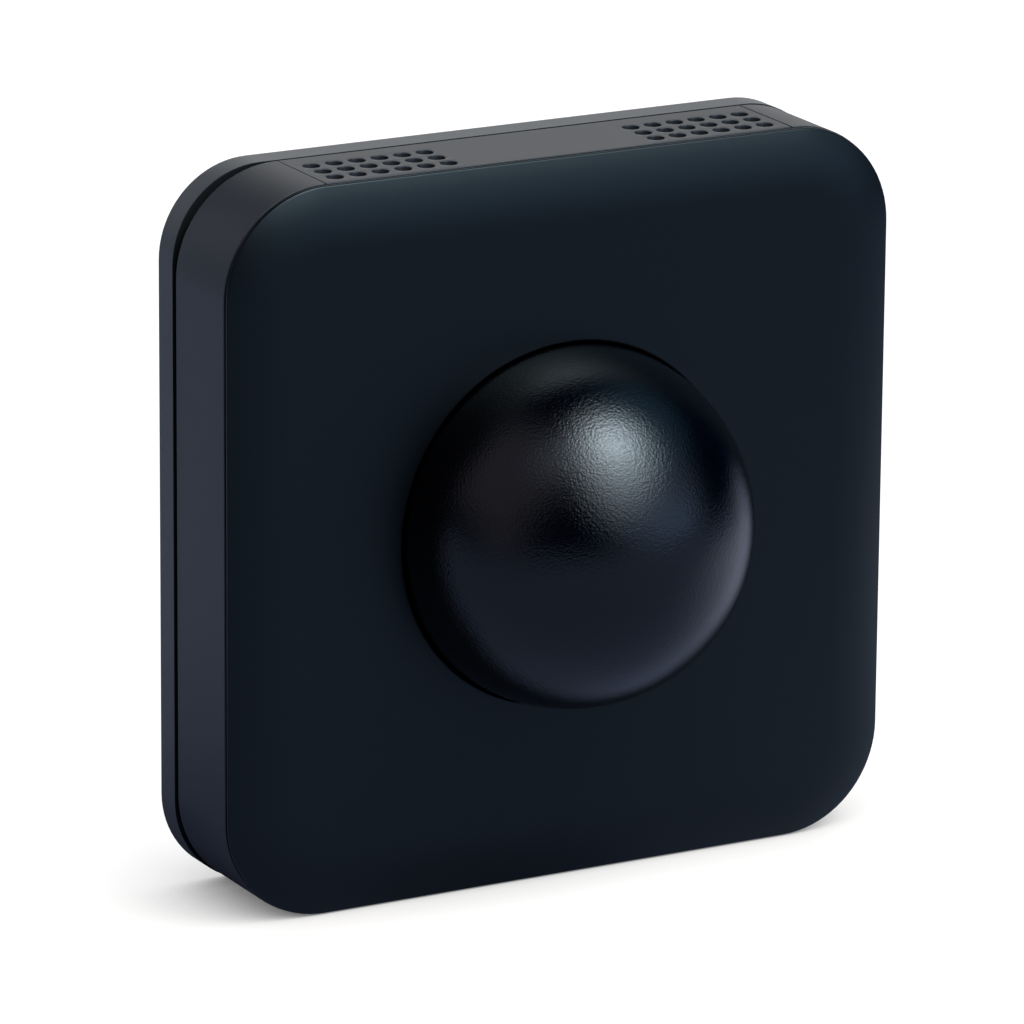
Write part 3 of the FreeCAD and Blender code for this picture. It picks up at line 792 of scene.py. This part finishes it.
# Main board: glass-fibre laminate under green solder mask, which lies over the copper in a
# gloss that follows the weave. The cut edges show the bare straw-coloured laminate.
weave_size, weave_height = 0.8, 0.004
waves = 0.314 / (weave_size * MM)
solder_mask, tree, surface, place = finish_for("solder_mask_on_laminate", Roughness=0.3, IOR=1.52)
facing = add(tree, "ShaderNodeSeparateXYZ", {0: add(tree, "ShaderNodeTexCoord").outputs["Normal"]})
flat = add(tree, "ShaderNodeMath", {0: facing.outputs["Y"]}, operation="ABSOLUTE")
on_face = add(tree, "ShaderNodeMath", {0: flat}, {1: 0.7}, operation="GREATER_THAN")
straw_and_green = {"A": linear("#a89a62"), "B": linear("#0c3d26")}
skin = add(tree, "ShaderNodeMix", {0: on_face}, straw_and_green, data_type="RGBA")
tree.links.new(skin.outputs["Result"], surface.inputs["Base Color"])
warp, weft = [
    add(tree, "ShaderNodeTexWave", {"Vector": place}, {"Scale": waves}, bands_direction=across)
    for across in ("X", "Z")
]
strands = {0: warp.outputs["Fac"], 1: weft.outputs["Fac"]}
weave = add(tree, "ShaderNodeMath", strands, operation="MULTIPLY")
bump = add(tree, "ShaderNodeBump", {"Height": weave}, {"Strength": 0.5, "Distance": weave_height * MM})
tree.links.new(bump.outputs["Normal"], surface.inputs["Normal"])
coat(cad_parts["main_board"], solder_mask)

# Its tracks stand a little proud of the rear face, a paler green where the mask lies on copper.
# Its pads are tinned: bright, soft silver, with a slightly rippled skin.
covered_copper = toned(
    "solder_mask_on_copper", "#15573a", "#1b633f", 4.0, 0.5, 0.002, Roughness=0.3, IOR=1.52
)
tin = toned("tinned_copper", "#bfc0bd", "#d2d2ce", 0.8, 0.3, 0.006, Metallic=1.0, Roughness=0.32)
mcu_x0, mcu_x1, mcu_back, _, mcu_z0, mcu_z1 = span("microcontroller")
bus_x0, bus_x1, bus_back, _, bus_z0, bus_z1 = span("bus_transceiver")
reg_x0, reg_x1, reg_back, _, reg_z0, reg_z1 = span("voltage_regulator")
can_x0, can_x1, can_back, _, can_z0, can_z1 = span("filter_capacitors")
block_x0, block_x1, block_back, _, block_z0, block_z1 = span("terminal_block")
key_x0, key_x1, key_back, _, key_z0, key_z1 = span("learn_key_body")
led_x0, led_x1, led_back, _, led_z0, led_z1 = span("status_led")
air_x0, air_x1 = span("air_sensor_board")[:2]
bus_z = (bus_z0 + bus_z1) / 2
mcu_x, mcu_z = (mcu_x0 + mcu_x1) / 2, (mcu_z0 + mcu_z1) / 2
reg_x = (reg_x0 + reg_x1) / 2
led_x = (led_x0 + led_x1) / 2
pole_pitch = 3.81
pole_places = [(i - 2) * pole_pitch for i in range(5)]
bus_pin_pitch = 1.27
bridge_pin_pitch = 2.54


def ribbon(route, width, points, faces, rise):
    """Adds a flat strip along a route of (x, z) on the rear of the board."""
    borders = []
    for i, (x, z) in enumerate(route):
        before = Vector(route[max(i - 1, 0)])
        after = Vector(route[min(i + 1, len(route) - 1)])
        here = Vector((x, z))
        a = (here - before).normalized() if i > 0 else (after - here).normalized()
        b = (after - here).normalized() if i < len(route) - 1 else a
        middle = (a + b).normalized()
        across = Vector((-middle.y, middle.x)) * width / 2 / max(middle.dot(a), 0.3)
        borders.append((here - across, here + across))
    first = len(points)
    for border in borders:
        for p in border:
            points.append((p.x, board_back - rise, p.y))
            points.append((p.x, board_back + 0.02, p.y))
    for i in range(len(borders) - 1):
        n = first + 4 * i
        faces.append((n, n + 2, n + 6, n + 4))
        faces.append((n, n + 4, n + 5, n + 1))
        faces.append((n + 2, n + 3, n + 7, n + 6))
    last = first + 4 * (len(borders) - 1)
    faces.append((first, first + 1, first + 3, first + 2))
    faces.append((last, last + 2, last + 3, last + 1))


# Each route is the track's width and its corners (x, z), laid round the parts.
track_rise = 0.05
signal, supply = 0.22, 0.3
lamp_z, key_pin_z = mcu_z - 2.25, key_z1 - 0.75
above_block, below_reg = block_z1 + 2.2, reg_z0 - 1.3
above_cans, above_reg = can_z1 + 0.8, reg_z1 + 0.1
ground_z = block_z1 - 2.7
routes = []
for i, x in enumerate(pole_places[:3]):
    low = block_z0 - 0.6 - 0.9 * i
    out, pin = bus_x0 - 3.2 - i, bus_z + bus_pin_pitch * (1 - i)
    routes.append(
        (0.35, [(x, block_z0 - 0.1), (x, low), (out, low - 2), (out, pin), (bus_x0 - 0.6, pin)])
    )
for i in range(3):
    z, out, pin = mcu_z + 0.75 - i, bus_x1 + 2.6 + 0.7 * i, bus_z + bus_pin_pitch * (i - 1)
    routes.append(
        (signal, [(mcu_x1 + 1, z), (out - 0.8, z), (out, z + 0.8), (out, pin), (bus_x1 + 1.5, pin)])
    )
for i in range(4):
    x, pin = mcu_x0 + 1.4 + 0.9 * i, (air_x0 + air_x1) / 2 + (i - 1.5) * bridge_pin_pitch
    routes.append(
        (signal, [(x, mcu_z0 - 1), (x, mcu_z0 - 2), (pin, mcu_z0 - 5), (pin, board_z0 + 0.8)])
    )
for i in range(3):
    x, out, z = mcu_x0 + 1.6 + i, can_x0 + 2 + 3 * i, can_z0 - 3.4 + 1.1 * i
    routes.append((supply, [(x, mcu_z1 + 1), (x, z - 3), (out, z), (out, can_z0)]))
routes += [
    (signal, [(led_x, led_z1 + 0.3), (led_x, lamp_z - 0.7), (led_x - 0.7, lamp_z), (mcu_x1 + 1, lamp_z)]),
    (signal, [(key_x0 - 1.2, key_pin_z), (key_x0 - 3, key_pin_z), (key_x0 - 4, lamp_z - 0.5),
              (mcu_x1 + 1, lamp_z - 0.5)]),
    (1.2, [(can_x1 - 0.5, can_z1 - 2), (can_x1 + 2.8, above_cans), (reg_x0 - 2.2, above_cans),
           (reg_x0 - 0.8, above_reg), (reg_x - 1.5, above_reg)]),
    (0.8, [(pole_places[3], block_z1 - 0.1), (pole_places[3], above_block), (reg_x0 - 3, above_block),
           (reg_x0 - 1.6, below_reg), (reg_x - 2.3, below_reg)]),
    (1.0, [(block_x1 - 0.1, ground_z), (reg_x + 1.1, ground_z), (reg_x + 2.3, block_z1 - 1.5),
           (reg_x + 2.3, below_reg)]),
]
points, faces = [], []
for width, route in routes:
    ribbon(route, width, points, faces, track_rise)
finished(mesh_piece("board_tracks", points, faces), covered_copper, None, "board_laminate")

# Air sensor board with its chip, its pins and its duct: the small board is the same laminate,
# soldered to the main board by tinned pins. The duct's thin walls are of black ABS, and the chip
# is black epoxy, moulded in a ground tool that leaves a fine flat matt.
chip_epoxy = toned(
    "epoxy_moulding_compound", "#17181a", "#1d1e20", 1.6, 0.12, 0.004, Roughness=0.55, IOR=1.55
)
for node, material in (
    ("air_sensor_board", solder_mask),
    ("bridge_pins", tin),
    ("air_duct", black_abs),
    ("air_sensor_chip", chip_epoxy),
):
    coat(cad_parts[node], material)

# Globe probe: an epoxy-dipped bead on two tinned leads, carried up the middle of the globe by a
# tube moulded in natural PBT. The tube is a creamy satin, the dip a brown glossy black.
pbt = toned("natural_pbt", "#d8d4c8", "#e2dfd4", 8.0, 0.4, 0.004, Roughness=0.42, IOR=1.55)
dip = toned("dipped_epoxy", "#15100c", "#1e1610", 2.0, 0.6, 0.01, Roughness=0.22, IOR=1.55)
for node, material in (("probe_stem", pbt), ("globe_probe", dip), ("probe_leads", tin)):
    coat(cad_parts[node], material)

# Board screws: four pan-head screws of the same plated steel. Their heads are domed, with a
# cross recess, and they hold the board on the bosses of the cover.
_, _, pan_back, pan_tip, _, _ = span("board_screws")
pan_radius, pan_crown, pan_height, pan_rim = 1.9, 0.4, 0.9, 0.5
pan_turns = [radians(a) for a in range(0, 91, 15)]
pan_section = [
    (pan_crown + (pan_radius - pan_crown) * sin(a), board_back - pan_rim - pan_height * cos(a))
    for a in pan_turns
]
pan_section += [
    (pan_radius, board_back), (shank_radius, board_back),
    (shank_radius, pan_tip - point_length), (point_radius, pan_tip),
]
pan_screw = lathed("pan_screw", pan_section)
cross_recess(pan_screw, pan_back, deep=0.8)
finished(set_of("pan_screws", pan_screw, board_holes), steel, "board_screws", "screw_steel")

# Terminal block: green polyamide, glossy from a polished mould, with a wire entry below and a
# screw well behind for each of the five poles, and a groove between the poles.
entry_half = 1.3
entry_front = board_back - 1.1
entry_back = entry_front - 2 * entry_half
entry_middle = (entry_back + entry_front) / 2
entry_end = span("terminal_clamps")[5]
flare, flare_start, flare_end = 0.5, 0.2, 0.5
well_radius, well_flare = 1.4, 0.4
well_section = [
    (well_radius + well_flare, block_back - 0.2),
    (well_radius, block_back + 0.4),
    (well_radius, entry_back + 0.4),
]
groove, groove_foot = 0.25, 1.0
terminal_z = (block_z0 + block_z1) / 2
housing_block = box_piece(
    "terminal_housing", block_x0, block_x1, block_back, board_back, block_z0, block_z1
)
cutters = []
for x in pole_places:
    cutters.append(
        box_piece(
            "entry", x - entry_half, x + entry_half, entry_back, entry_front, block_z0 - past, entry_end
        )
    )
    funnel = [
        [(x + sx * (entry_half + out), entry_middle + sd * (entry_half + out), z)
         for sx, sd in ((1, 1), (-1, 1), (-1, -1), (1, -1))]
        for out, z in ((flare, block_z0 - flare_start), (0.0, block_z0 + flare_end))
    ]
    cutters.append(lofted("funnel", funnel))
    cutters.append(lathed("well", well_section, x=x, z=terminal_z))
for pole, next_pole in zip(pole_places, pole_places[1:]):
    x = (pole + next_pole) / 2
    for depth, z0, z1 in (
        (block_back + groove, -front_half, front_half),
        (board_back - groove_foot, block_z0 - past, block_z0 + groove),
    ):
        cutters.append(
            box_piece("groove", x - groove / 2, x + groove / 2, block_back - past, depth, z0, z1)
        )
combined(housing_block, cutters, "DIFFERENCE")
edged(housing_block, width=0.1)
polyamide = toned(
    "moulded_polyamide", "#12643c", "#177045", 6.0, 0.6, 0.004, Roughness=0.34, IOR=1.53
)
finished(housing_block, polyamide, "terminal_block", "terminal_green")

# Terminal clamps: five cages folded from plain brass strip, which the screws draw up on the
# wire. The stamped faces keep a low, pale gold gleam.
brass = toned(
    "stamped_brass", "#cdb27c", "#dabe89", 1.2, 0.3, 0.004, Metallic=1.0, Roughness=0.3
)
coat(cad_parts["terminal_clamps"], brass)

# Terminal screws: five cheese-head screws of the same plated steel, one in each well, with one
# milled slot each.
_, _, wire_screw_back, wire_screw_front, _, _ = span("terminal_screws")
wire_screw_radius, wire_screw_rim = 1.3, 0.15
wire_screw = lathed(
    "wire_screw",
    [
        (wire_screw_radius - wire_screw_rim, wire_screw_back),
        (wire_screw_radius, wire_screw_back + wire_screw_rim),
        (wire_screw_radius, wire_screw_front),
    ],
)
slot_half_width, slot_depth = 0.25, 0.6
drive = box_piece(
    "drive", -2 * past, 2 * past, wire_screw_back - past, wire_screw_back + slot_depth,
    -slot_half_width, slot_half_width,
)
combined(wire_screw, [drive], "DIFFERENCE")
wire_screws = set_of("wire_screws", wire_screw, [(x, terminal_z) for x in pole_places])
finished(wire_screws, steel, "terminal_screws", "screw_steel")

# Chips on the rear of the board: the microcontroller, the bus transceiver and the voltage
# regulator, moulded in black epoxy with drafted sides, with bent tinned legs soldered to pads.


def moulded(name, x0, x1, z0, z1, corner, levels, edge, *finish, cut=()):
    """Block with cut corners through levels of (depth, inset), with its cutters and its finish."""
    rings = []
    for depth, inset in levels:
        a, b, c, d = x0 + inset, x1 - inset, z0 + inset, z1 - inset
        outline = [
            (b, c + corner), (b, d - corner), (b - corner, d), (a + corner, d),
            (a, d - corner), (a, c + corner), (a + corner, c), (b - corner, c),
        ]
        rings.append([(x, depth, z) for x, z in outline])
    block = lofted(name, rings, crease=20.0)
    if cut:
        combined(block, cut, "DIFFERENCE")
    finished(edged(block, edge), *finish)


leg_points, leg_faces = [], []
pad_points, pad_faces = [], []
pad_rise = 0.08


def leg(x, z, turn, width, rise, reach):
    """Adds a leg that leaves the body at a height, bends down and ends in a flat foot."""
    thick, solder, root = 0.13, 0.03, 0.15
    outline = [
        (-root, rise + thick / 2), (0.3 * reach, rise + thick / 2),
        (0.52 * reach, thick + solder), (reach, thick + solder), (reach, solder),
        (0.42 * reach, solder), (0.2 * reach, rise - thick / 2), (-root, rise - thick / 2),
    ]
    shell(leg_points, leg_faces, [
        [(x + out * cos(turn) - across * sin(turn), board_back - height,
          z + out * sin(turn) + across * cos(turn)) for out, height in outline]
        for across in (-width / 2, width / 2)
    ])


def pad(x, z, half_x, half_z):
    """Adds a tinned pad to the rear of the board."""
    ribbon([(x - half_x, z), (x + half_x, z)], 2 * half_z, pad_points, pad_faces, pad_rise)


def chip(name, node, x0, x1, z0, z1, back, dot):
    """Body whose sides draft both ways from the parting line, with a sunk dot at pin one."""
    height = board_back - back
    foot_draft, top_draft, gap, corner, edge = 0.12, 0.14, 0.1, 0.2, 0.04
    dot_radius, dot_depth, dot_inset = 0.35, 0.06, 0.9
    levels = [
        (board_back - gap, foot_draft), (board_back - height * 0.45, 0.0),
        (board_back - height * 0.6, 0.0), (back, top_draft),
    ]
    cut = []
    if dot:
        section = [(dot_radius, back - past), (dot_radius, back + dot_depth)]
        cut.append(lathed("mark", section, sides=24, x=x0 + dot_inset, z=z1 - dot_inset))
    moulded(name, x0, x1, z0, z1, corner, levels, edge, chip_epoxy, node, "chip_resin", cut=cut)


chip("microcontroller_body", "microcontroller", mcu_x0, mcu_x1, mcu_z0, mcu_z1, mcu_back, True)
chip("transceiver_body", "bus_transceiver", bus_x0, bus_x1, bus_z0, bus_z1, bus_back, True)
reg_split = reg_z0 + 3.5
chip("regulator_body", None, reg_x0, reg_x1, reg_z0, reg_split, reg_back, False)
mcu_half = mcu_x1 - mcu_x
mcu_side_legs, mcu_leg_pitch, mcu_pad_out = 12, 0.5, 0.75
mcu_pad_long, mcu_pad_short = 0.45, 0.15
for side in range(4):
    turn = side * pi / 2
    pad_size = (mcu_pad_long, mcu_pad_short) if side % 2 == 0 else (mcu_pad_short, mcu_pad_long)
    for i in range(mcu_side_legs):
        along = (i - (mcu_side_legs - 1) / 2) * mcu_leg_pitch
        x = mcu_x + mcu_half * cos(turn) - along * sin(turn)
        z = mcu_z + mcu_half * sin(turn) + along * cos(turn)
        leg(x, z, turn, width=0.24, rise=0.5, reach=0.95)
        pad(x + mcu_pad_out * cos(turn), z + mcu_pad_out * sin(turn), *pad_size)
for side, edge, turn in ((1, bus_x1, 0), (-1, bus_x0, pi)):
    for i in range(3):
        z = bus_z + (i - 1) * bus_pin_pitch
        leg(edge, z, turn, width=0.42, rise=0.7, reach=1.2)
        pad(edge + side * 1.0, z, half_x=0.6, half_z=0.3)
reg_leg_pitch = 2.3
for i in range(3):
    x = reg_x + (i - 1) * reg_leg_pitch
    leg(x, reg_z0, -pi / 2, width=0.7, rise=0.8, reach=1.6)
    pad(x, below_reg, half_x=0.5, half_z=0.7)
pad(reg_x, above_reg, half_x=1.9, half_z=1.3)
finished(mesh_piece("chip_legs", leg_points, leg_faces), tin, None, "tinned_wire")
tab_half, tab_lap, tab_rear = 1.5, 0.3, 0.4
moulded(
    "regulator_tab", reg_x - tab_half, reg_x + tab_half, reg_split - tab_lap, reg_z1, 0.2,
    [(board_back - pad_rise, 0.0), (board_back - tab_rear, 0.0)],
    0.05, tin, "voltage_regulator", "tinned_wire",
)

# Filter capacitors: two cans drawn in bright, smooth aluminium and crimped on a black base with
# cut corners. A flat dark segment is printed in lacquer on each top, to mark the pole.
can_radius, can_half, can_base, base_corner = 3.15, 3.3, 0.8, 0.9
can_foot, can_bevel, can_round = 0.1, 0.09, 0.3
solder_gap = 0.05
can_xs = (can_x0 + can_half, can_x1 - can_half)
can_z = (can_z0 + can_z1) / 2
crimp = board_back - can_base - 0.9
crimp_half, crimp_depth = 0.25, 0.18
can_section = [
    (can_radius - can_foot, board_back - can_base), (can_radius, board_back - can_base - can_foot),
    (can_radius, crimp + crimp_half), (can_radius - crimp_depth, crimp),
    (can_radius, crimp - crimp_half), (can_radius, can_back + can_round),
    (can_radius - can_bevel, can_back + can_bevel), (can_radius - can_round, can_back),
]
alu = toned(
    "drawn_aluminium", "#c9cbcd", "#d6d7d8", 2.5, 0.2, 0.003, Metallic=1.0, Roughness=0.3
)
cans = set_of("capacitor_cans", lathed("can", can_section, sides=56), [(x, can_z) for x in can_xs])
finished(cans, alu, "filter_capacitors", "can_aluminium")
lacquer = toned("black_lacquer", "#141416", "#1b1b1d", 1.0, 0.3, 0.002, Roughness=0.45, IOR=1.5)
mark_radius, mark_over, mark_under = can_radius - 0.35, 0.012, 0.01
mark_steps = 16
mark_turns = [radians(120 + 120 * i / mark_steps) for i in range(mark_steps + 1)]
points, faces = [], []
for name, x in zip(("capacitor_base_left", "capacitor_base_right"), can_xs):
    moulded(
        name, x - can_half, x + can_half, can_z - can_half, can_z + can_half, base_corner,
        [(board_back - solder_gap, 0.0), (board_back - can_base, 0.0)],
        0.08, chip_epoxy, None, "chip_resin",
    )
    for side in (-1, 1):
        pad(x + side * (can_half + 0.1), can_z, half_x=0.7, half_z=0.4)
    shell(points, faces, [
        [(x + mark_radius * cos(a), depth, can_z + mark_radius * sin(a)) for a in mark_turns]
        for depth in (can_back - mark_over, can_back + mark_under)
    ])
finished(mesh_piece("capacitor_marks", points, faces), lacquer, None, "chip_resin")

# Status lamp: a matt white ceramic chip with tinned ends, soldered beside the key, and a glossy
# lens of milky resin moulded on it.
milky = toned(
    "milky_resin", "#d4d6c8", "#e0e2d6", 1.0, 0.4, 0.003,
    Roughness=0.18, IOR=1.54, Transmission_Weight=0.3,
)
lens_side, lens_end = 0.1, 0.55
moulded(
    "lamp_lens", led_x0 + lens_side, led_x1 - lens_side, led_z0 + lens_end, led_z1 - lens_end, 0.1,
    [(board_back - 0.45, 0.0), (led_back + 0.12, 0.06), (led_back, 0.2)],
    0.05, milky, "status_led", "led_lens",
)
ceramic = toned("white_ceramic", "#dcdcd8", "#e6e6e2", 1.0, 0.3, 0.002, Roughness=0.5, IOR=1.6)
moulded(
    "lamp_base", led_x0, led_x1, led_z0, led_z1, 0.05,
    [(board_back - 0.03, 0.0), (board_back - 0.48, 0.0)],
    0.04, ceramic, None, "led_lens",
)
for z in (led_z0, led_z1):
    pad(led_x, z, half_x=0.8, half_z=0.45)

# Learn key: a short-travel switch, a black body under a folded steel plate with four rivets,
# and the plunger that is pressed through it, moulded in red acetal with its waxy satin.
key_x, key_z = (key_x0 + key_x1) / 2, (key_z0 + key_z1) / 2
plate_front = key_back + 0.3
key_corner, key_plate_inset = 0.3, 0.1
key_well, key_well_depth, key_bore = 1.75, 1.3, 1.95
well_wall = [(key_well, key_back - past), (key_well, key_back + key_well_depth)]
well = lathed("well", well_wall, x=key_x, z=key_z)
moulded(
    "switch_base", key_x0, key_x1, key_z0, key_z1, key_corner,
    [(board_back - solder_gap, 0.0), (plate_front, 0.0)],
    0.08, chip_epoxy, "learn_key_body", "chip_resin", cut=[well],
)
bore_wall = [(key_bore, key_back - past), (key_bore, key_back + past)]
bore = lathed("bore", bore_wall, x=key_x, z=key_z)
moulded(
    "switch_plate", key_x0 + key_plate_inset, key_x1 - key_plate_inset,
    key_z0 + key_plate_inset, key_z1 - key_plate_inset, key_corner,
    [(plate_front, 0.0), (key_back, 0.0)],
    0.04, steel, None, "screw_steel", cut=[bore],
)
rivet_section = [(0.4, key_back + 0.1), (0.4, key_back - 0.05), (0.3, key_back - 0.12)]
rivet_out = 2.2
rivet_places = [
    (key_x + sx * rivet_out, key_z + sz * rivet_out) for sx in (-1, 1) for sz in (-1, 1)
]
rivets = set_of("switch_rivets", lathed("rivet", rivet_section, sides=24), rivet_places)
finished(rivets, chip_epoxy, None, "chip_resin")
plunger_x0, plunger_x1, plunger_back, plunger_front, _, _ = span("learn_key")
plunger_radius = (plunger_x1 - plunger_x0) / 2
plunger_section = [
    (0.5, plunger_back), (plunger_radius - 0.35, plunger_back + 0.02),
    (plunger_radius - 0.1, plunger_back + 0.1), (plunger_radius, plunger_back + 0.35),
    (plunger_radius, plunger_front),
]
plunger = lathed("key_plunger", plunger_section, sides=56, x=key_x, z=key_z)
acetal = toned("red_acetal", "#8e1d16", "#9a221a", 2.0, 0.3, 0.003, Roughness=0.36, IOR=1.48)
finished(plunger, acetal, "learn_key", "key_plastic", body="learn_key")
key_pad_x, key_pad_z = 3.6, 2.25
for side in (-1, 1):
    for z in (key_z - key_pad_z, key_z + key_pad_z):
        pad(key_x + side * key_pad_x, z, half_x=0.7, half_z=0.5)
finished(mesh_piece("solder_pads", pad_points, pad_faces), tin, None, "tinned_wire")

# Studio: a sheet of white paper on which the object stands and which keeps its contact shadow,
# white all round, a large soft box in front and to the right with a brighter middle, and a dim
# room with a window low in front and pale walls to the left and right.
half_floor = 3.0
floor_z = frame_foot * MM - 0.00005
floor_mesh = bpy.data.meshes.new("floor")
floor_mesh.from_pydata(
    [(x * half_floor, y * half_floor, floor_z) for x, y in ((-1, -1), (1, -1), (1, 1), (-1, 1))],
    [],
    [(0, 1, 2, 3)],
)
floor = placed("floor", floor_mesh)

# To the camera the paper is white, and only near the object does its own light fade, so that
# the shade of the object shows on its warm tone. What the object mirrors of it is a grey-blue
# painted for the room's cool light, and painted light makes it paler to the right and behind.
paper, tree, surface, place = finish_for(
    "matt_white_paper", Roughness=0.9, Specular_IOR_Level=0.1, Emission_Color=(1, 1, 1, 1)
)
path = add(tree, "ShaderNodeLightPath")
# Painted light: the mirrored tone turns paler round a point to the right and towards the back.
painted_light_middle = (0.16, 0.03, floor_z)
from_painted_light = add(tree, "ShaderNodeVectorMath", {0: place}, {1: painted_light_middle}, operation="DISTANCE")
where = add(tree, "ShaderNodeSeparateXYZ", {0: place})
to_right, to_back = [
    add(tree, "ShaderNodeMapRange", {"Value": source}, limits, interpolation_type="SMOOTHSTEP")
    for source, limits in (
        (from_painted_light.outputs["Value"], {"From Min": 0.17, "From Max": 0.07}),
        (where.outputs["Y"], {"From Min": 0.01, "From Max": 0.09, "To Max": 0.6}),
    )
]
painted_light_share = add(tree, "ShaderNodeMath", {0: to_right, 1: to_back}, operation="MAXIMUM")
tones = {"A": linear("#898da3"), "B": linear("#d7d3df")}
mirrored = add(tree, "ShaderNodeMix", {0: painted_light_share}, tones, data_type="RGBA")
choice = {0: path.outputs["Is Camera Ray"], "A": mirrored.outputs["Result"]}
tone = add(tree, "ShaderNodeMix", choice, {"B": linear("#7a6e64")}, data_type="RGBA")
tree.links.new(tone.outputs["Result"], surface.inputs["Base Color"])

# The shade deepens with the part of the room that the object hides, leaning to the lamp's side.
shade_reach = 0.019
shade_depth = 0.96
shade_curve = 1.45
lean = add(tree, "ShaderNodeCombineXYZ", {}, {"X": 0.1, "Y": -0.22, "Z": 1.0})
open_room = add(
    tree, "ShaderNodeAmbientOcclusion", {"Normal": lean}, {"Distance": shade_reach}, samples=12
)
hidden = add(tree, "ShaderNodeMath", {1: open_room.outputs["AO"]}, {0: 1.0}, operation="SUBTRACT")
curve = add(tree, "ShaderNodeMath", {0: hidden}, {1: shade_curve}, operation="POWER")
shine = add(tree, "ShaderNodeMath", {0: curve}, {1: -shade_depth, 2: 1.0}, operation="MULTIPLY_ADD")
to_camera = {0: shine, 1: path.outputs["Is Camera Ray"]}
seen = add(tree, "ShaderNodeMath", to_camera, operation="MULTIPLY")
tree.links.new(seen.outputs[0], surface.inputs["Emission Strength"])
floor_mesh.materials.append(paper)

# The room's light, from its dim blue upwards: the glow round the soft box, the window low in
# front, and the pale walls. The camera sees white, and so does a mirror that faces the rear.


def direction(turn, lift):
    """Unit vector from the object: turn 0 is straight in front, 90 to the right, lift is up."""
    flat = cos(radians(lift))
    return Vector((sin(radians(turn)) * flat, -cos(radians(turn)) * flat, sin(radians(lift))))


def patch(turn, lift, inner, outer):
    """Part of the room round a heading: 1 within the inner angle, 0 beyond the outer one."""
    middle = {1: direction(turn, lift)}
    along = add(tree, "ShaderNodeVectorMath", {0: heading}, middle, operation="DOT_PRODUCT")
    value = {"Value": along.outputs["Value"]}
    limits = {"From Min": cos(radians(outer)), "From Max": cos(radians(inner))}
    return add(tree, "ShaderNodeMapRange", value, limits, interpolation_type="SMOOTHSTEP")


world = bpy.data.worlds.new("studio")
bpy.context.scene.world = world
world.use_nodes = True
tree = world.node_tree
tree.nodes.clear()
path = add(tree, "ShaderNodeLightPath")
heading = add(tree, "ShaderNodeTexCoord").outputs["Generated"]
dim_blue = (0.001, 0.008, 0.029)
below = {}
for turn, lift, inner, outer, colour, strength in (
    (10, 40, 6, 30, "#e4f4ff", 2.0),
    (30, 22, 10, 44, "#b9d6ff", 0.8),
    (40, -4, 6, 30, "#a7d2ff", 0.59),
    (-80, 40, 12, 44, "#edebff", 0.33),
    (-40, 56, 2, 18, "#e2eeff", 0.66),
    (-70, -4, 2, 20, "#faf3ff", 0.25),
    (78, 54, 6, 30, "#97d4ff", 0.46),
):
    glow = add(
        tree,
        "ShaderNodeVectorMath",
        {0: patch(turn, lift, inner, outer), **below},
        {1: Vector(linear(colour)[:3]) * strength, 2: dim_blue},
        operation="MULTIPLY_ADD",
    )
    below = {2: glow}
mirror_rays = {0: path.outputs["Is Glossy Ray"], 1: path.outputs["Is Transmission Ray"]}
mirror_ray = add(tree, "ShaderNodeMath", mirror_rays, operation="MAXIMUM")
rear = patch(150, 6, 22, 32)
behind = add(tree, "ShaderNodeMath", {0: mirror_ray, 1: rear}, operation="MULTIPLY")
white_rays = {0: path.outputs["Is Camera Ray"], 1: behind}
white_part = add(tree, "ShaderNodeMath", white_rays, operation="MAXIMUM")
room = add(tree, "ShaderNodeBackground", {"Color": glow}, {"Strength": 1.0})
white = add(tree, "ShaderNodeBackground", {}, {"Color": (1, 1, 1, 1), "Strength": 1.0})
light = add(tree, "ShaderNodeMixShader", {0: white_part, 1: room, 2: white})
add(tree, "ShaderNodeOutputWorld", {"Surface": light})

# Lamps: round soft boxes, each with its turn and lift, the half angle that it fills, its
# radiance and its colour.
lamp_distance = 0.75
for name, turn, lift, spread, radiance, colour in (
    ("soft_box", 21, 57, 24, 3.0, "#e3f6ff"),
    ("soft_box_middle", 24, 60, 11, 10.2, "#e4f3ff"),
    ("rear_fill", 185, 4, 13, 3.6, "#e8f2ff"),
):
    radius = lamp_distance * tan(radians(spread))
    lamp = bpy.data.lights.new(name, "AREA")
    lamp.shape = "DISK"
    lamp.size = 2 * radius
    lamp.energy = radiance * (pi * radius) ** 2
    lamp.color = linear(colour)[:3]
    holder = placed(name, lamp)
    holder.location = direction(turn, lift) * lamp_distance
    holder.rotation_mode = "QUATERNION"
    holder.rotation_quaternion = direction(turn, lift).to_track_quat("Z", "Y")

# Camera: in front, to the left of the object and above it, as in the photograph.
view_turn, view_lift, view_roll = -28.759, 16.333, radians(0.474)
view_target = Vector((3.147, 0.0, -4.037)) * MM
view_distance = 0.8833
back = direction(view_turn, view_lift)
right = Vector((0, 0, 1)).cross(back).normalized()
up = back.cross(right)
right_rolled = right * cos(view_roll) + up * sin(view_roll)
up_rolled = up * cos(view_roll) - right * sin(view_roll)
sensor_width, focal_length = 36.0, 269.74
lens = bpy.data.cameras.new("camera")
lens.sensor_width = sensor_width
lens.lens = focal_length
camera = placed("camera", lens)
basis = Matrix((right_rolled, up_rolled, back)).transposed()
camera.matrix_world = Matrix.Translation(view_target + back * view_distance) @ basis.to_4x4()
bpy.context.scene.camera = camera
bpy.context.scene.view_settings.view_transform = "Standard"
